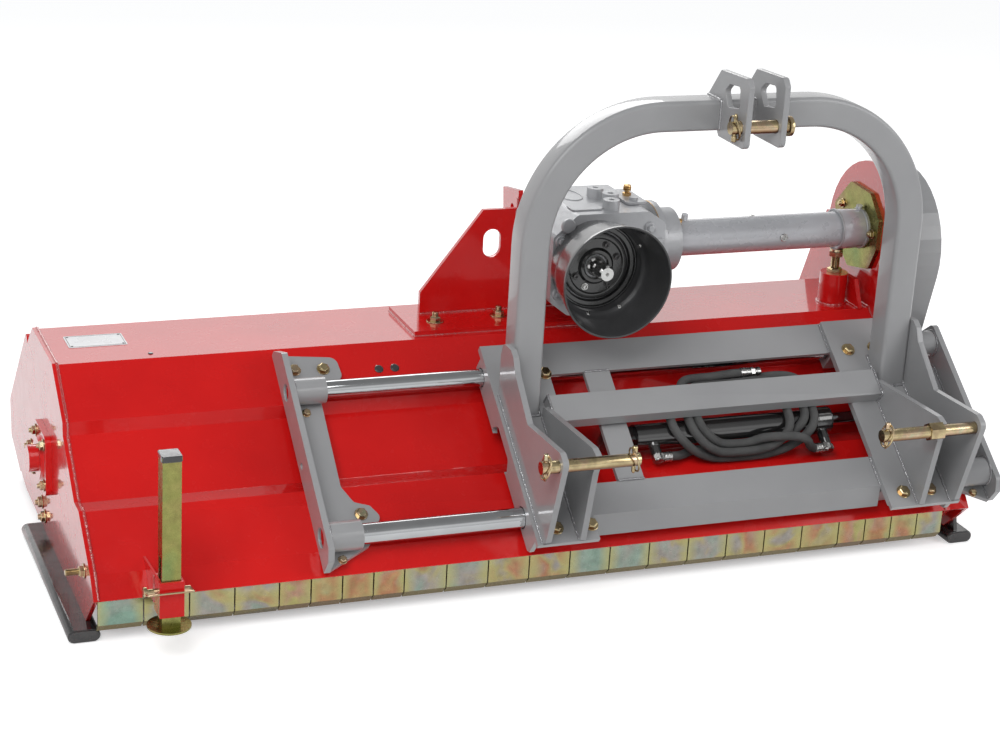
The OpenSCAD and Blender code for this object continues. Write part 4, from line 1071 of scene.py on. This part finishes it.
def hoses():
    """Both hoses with their ends."""
    for name, route, way in (("hose_long", HOSE_A, -1), ("hose_short", HOSE_B, 1)):
        path = smooth_line([face(*q) for q in route], step=3)
        obj, long = sleeve(name, path, HOSE_R)
        x, s, n = route[-1]
        tip = face(x + way * 45, s, n)
        inward = path[0] + (path[1] - path[0]).normalized() * 0.02
        ends = [fitting(name + "_port_end", path[0], inward, True),
                fitting(name + "_coupler", path[-1], tip, False)]
        if name == "hose_long":
            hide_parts("hydraulic_hoses")


def cylinder_trim():
    """Gland ring, the bosses of both ports and the pin of the eye."""
    kit = Kit()
    kit.lathe(frame_at(face(BARREL_X1 - 36, *RAM), X_AXIS),
              [(28.4, 0), (28.4, 3), (27.6, 3.6), (28.4, 4.2), (28.4, 33), (26, 36.6), (17, 37),
               (16, 39), (14.4, 39)], 48)
    for x in (PORT_A, PORT_B):
        kit.lathe(frame_at(face(x, 184, RAM[1]), -UP_SLOPE),
                  [(13, -4), (12, 2), (11, 3), (11, 20)], 28)
    kit.lathe(frame_at(face(EYE_X, RAM[0], 43), OUT_SLOPE),
              [(15, 0), (15, 3), (12, 4.5), (12, 8.8)], 32)
    kit.done("cylinder_trim", "headstock", "black_paint")


def cylinder_ports():
    """The hexagon unions that the hoses leave from."""
    kit = Kit()
    for x, s in ((PORT_A, PORT_A_S), (PORT_B, PORT_B_S)):
        kit.hexagon(frame_at(face(x, s + 4, RAM[1]), -UP_SLOPE), 12.4, 0, 13.5, 0.5)
    kit.done("cylinder_ports", "headstock", "bright_steel", edge=0.3)


# floor, world and lights
def add_floor(half=20, for_eye=0.62, for_gloss=0.36):
    """A pale floor that glows a little for the eye and for gloss. Under the deck the glow is left
    out, a painted shadow on top of the shadow that the floor keeps."""
    mesh = bpy.data.meshes.new("floor")
    mesh.from_pydata([(-half, -half, 0), (half, -half, 0), (half, half, 0), (-half, half, 0)],
                     [], [(0, 1, 2, 3)])
    floor = put("floor", mesh)
    floor.location.z = -0.0006
    mat = bpy.data.materials.new("floor")
    tree = bare_tree(mat)
    path = node(tree, "LightPath").outputs
    seen = calc(tree, calc(tree, path["Is Camera Ray"], for_eye, "MULTIPLY"),
                calc(tree, path["Is Glossy Ray"], for_gloss, "MULTIPLY"))
    # painted shadow: the glow fades out over a patch the size of the deck
    place = node(tree, "TexCoord").outputs["Object"]
    aside = calc(tree, part_of(tree, place, 0), 0, "ABSOLUTE")
    along = calc(tree, calc(tree, part_of(tree, place, 1), -0.05), 0, "ABSOLUTE")
    clear = calc(tree, spread(tree, aside, 0, 1, 0.78, 0.93),
                 spread(tree, along, 0, 1, 0.3, 0.39), "MAXIMUM")
    matte = node(tree, "BsdfDiffuse", Color=(0.8, 0.8, 0.8)).outputs[0]
    glow = node(tree, "Emission", Strength=calc(tree, seen, clear, "MULTIPLY")).outputs[0]
    both = tree.nodes.new("ShaderNodeAddShader")
    tree.links.new(matte, both.inputs[0])
    tree.links.new(glow, both.inputs[1])
    node(tree, "OutputMaterial", Surface=both.outputs[0])
    mesh.materials.append(mat)


def add_world():
    """Soft light all round. The eye sees white, and gloss sees a bright backdrop and a
    dimmer ceiling."""
    world = bpy.data.worlds.new("studio")
    bpy.context.scene.world = world
    tree = bare_tree(world)
    light = node(tree, "Background", Color=(0.96, 0.98, 1), Strength=0.42).outputs[0]
    path = node(tree, "LightPath").outputs
    height = part_of(tree, node(tree, "TexCoord").outputs["Generated"], 2)
    greys = ((0, 0.85), (0.3, 1), (0.42, 0.95), (0.58, 0.42), (1, 0.32))
    room = ramp(tree, height, [(place, (grey,) * 3) for place, grey in greys])
    white = node(tree, "Background",
                 Color=mix(tree, path["Is Camera Ray"], room, (1, 1, 1))).outputs[0]
    seen = calc(tree, calc(tree, path["Is Camera Ray"], path["Is Glossy Ray"], "MAXIMUM"),
                path["Is Transmission Ray"], "MAXIMUM")
    both = tree.nodes.new("ShaderNodeMixShader")
    for socket, value in zip(both.inputs, (seen, light, white)):
        tree.links.new(value, socket)
    node(tree, "OutputWorld", Surface=both.outputs[0])


def area(name, place, target, size, power):
    data = bpy.data.lights.new(name, "AREA")
    data.shape = "RECTANGLE"
    data.size, data.size_y = size
    data.energy = power
    lamp = put(name, data)
    lamp.location = place
    aim = Vector(target) - Vector(place)
    lamp.rotation_euler = aim.to_track_quat("-Z", "Y").to_euler()


add_camera()
finish_nodes()
for build in (deck_welds, bracket_welds, carriage_welds, carriage_bolts, deck_bolts, stand_pin,
              leg_cap, runner_plugs, rating_plate, plate_frame, bearing_shoulder,
              gearbox_casting, gearbox_brass, tube_screw, guard_cover, guard_screws,
              splined_shaft, arch_tube, top_link_plates, hoses, cylinder_trim, cylinder_ports,
              add_floor, add_world):
    build()
area("key", (-2.2, -2.6, 3.6), (0, 0, 0.3), (2.6, 2), 95)
area("fill", (2.8, -2.4, 1.9), (0.2, 0, 0.4), (1.8, 1.8), 34)
area("back", (0.4, 3.2, 2.8), (0, 0, 0.4), (3, 1.4), 46)
bpy.context.scene.view_settings.view_transform = "Standard"
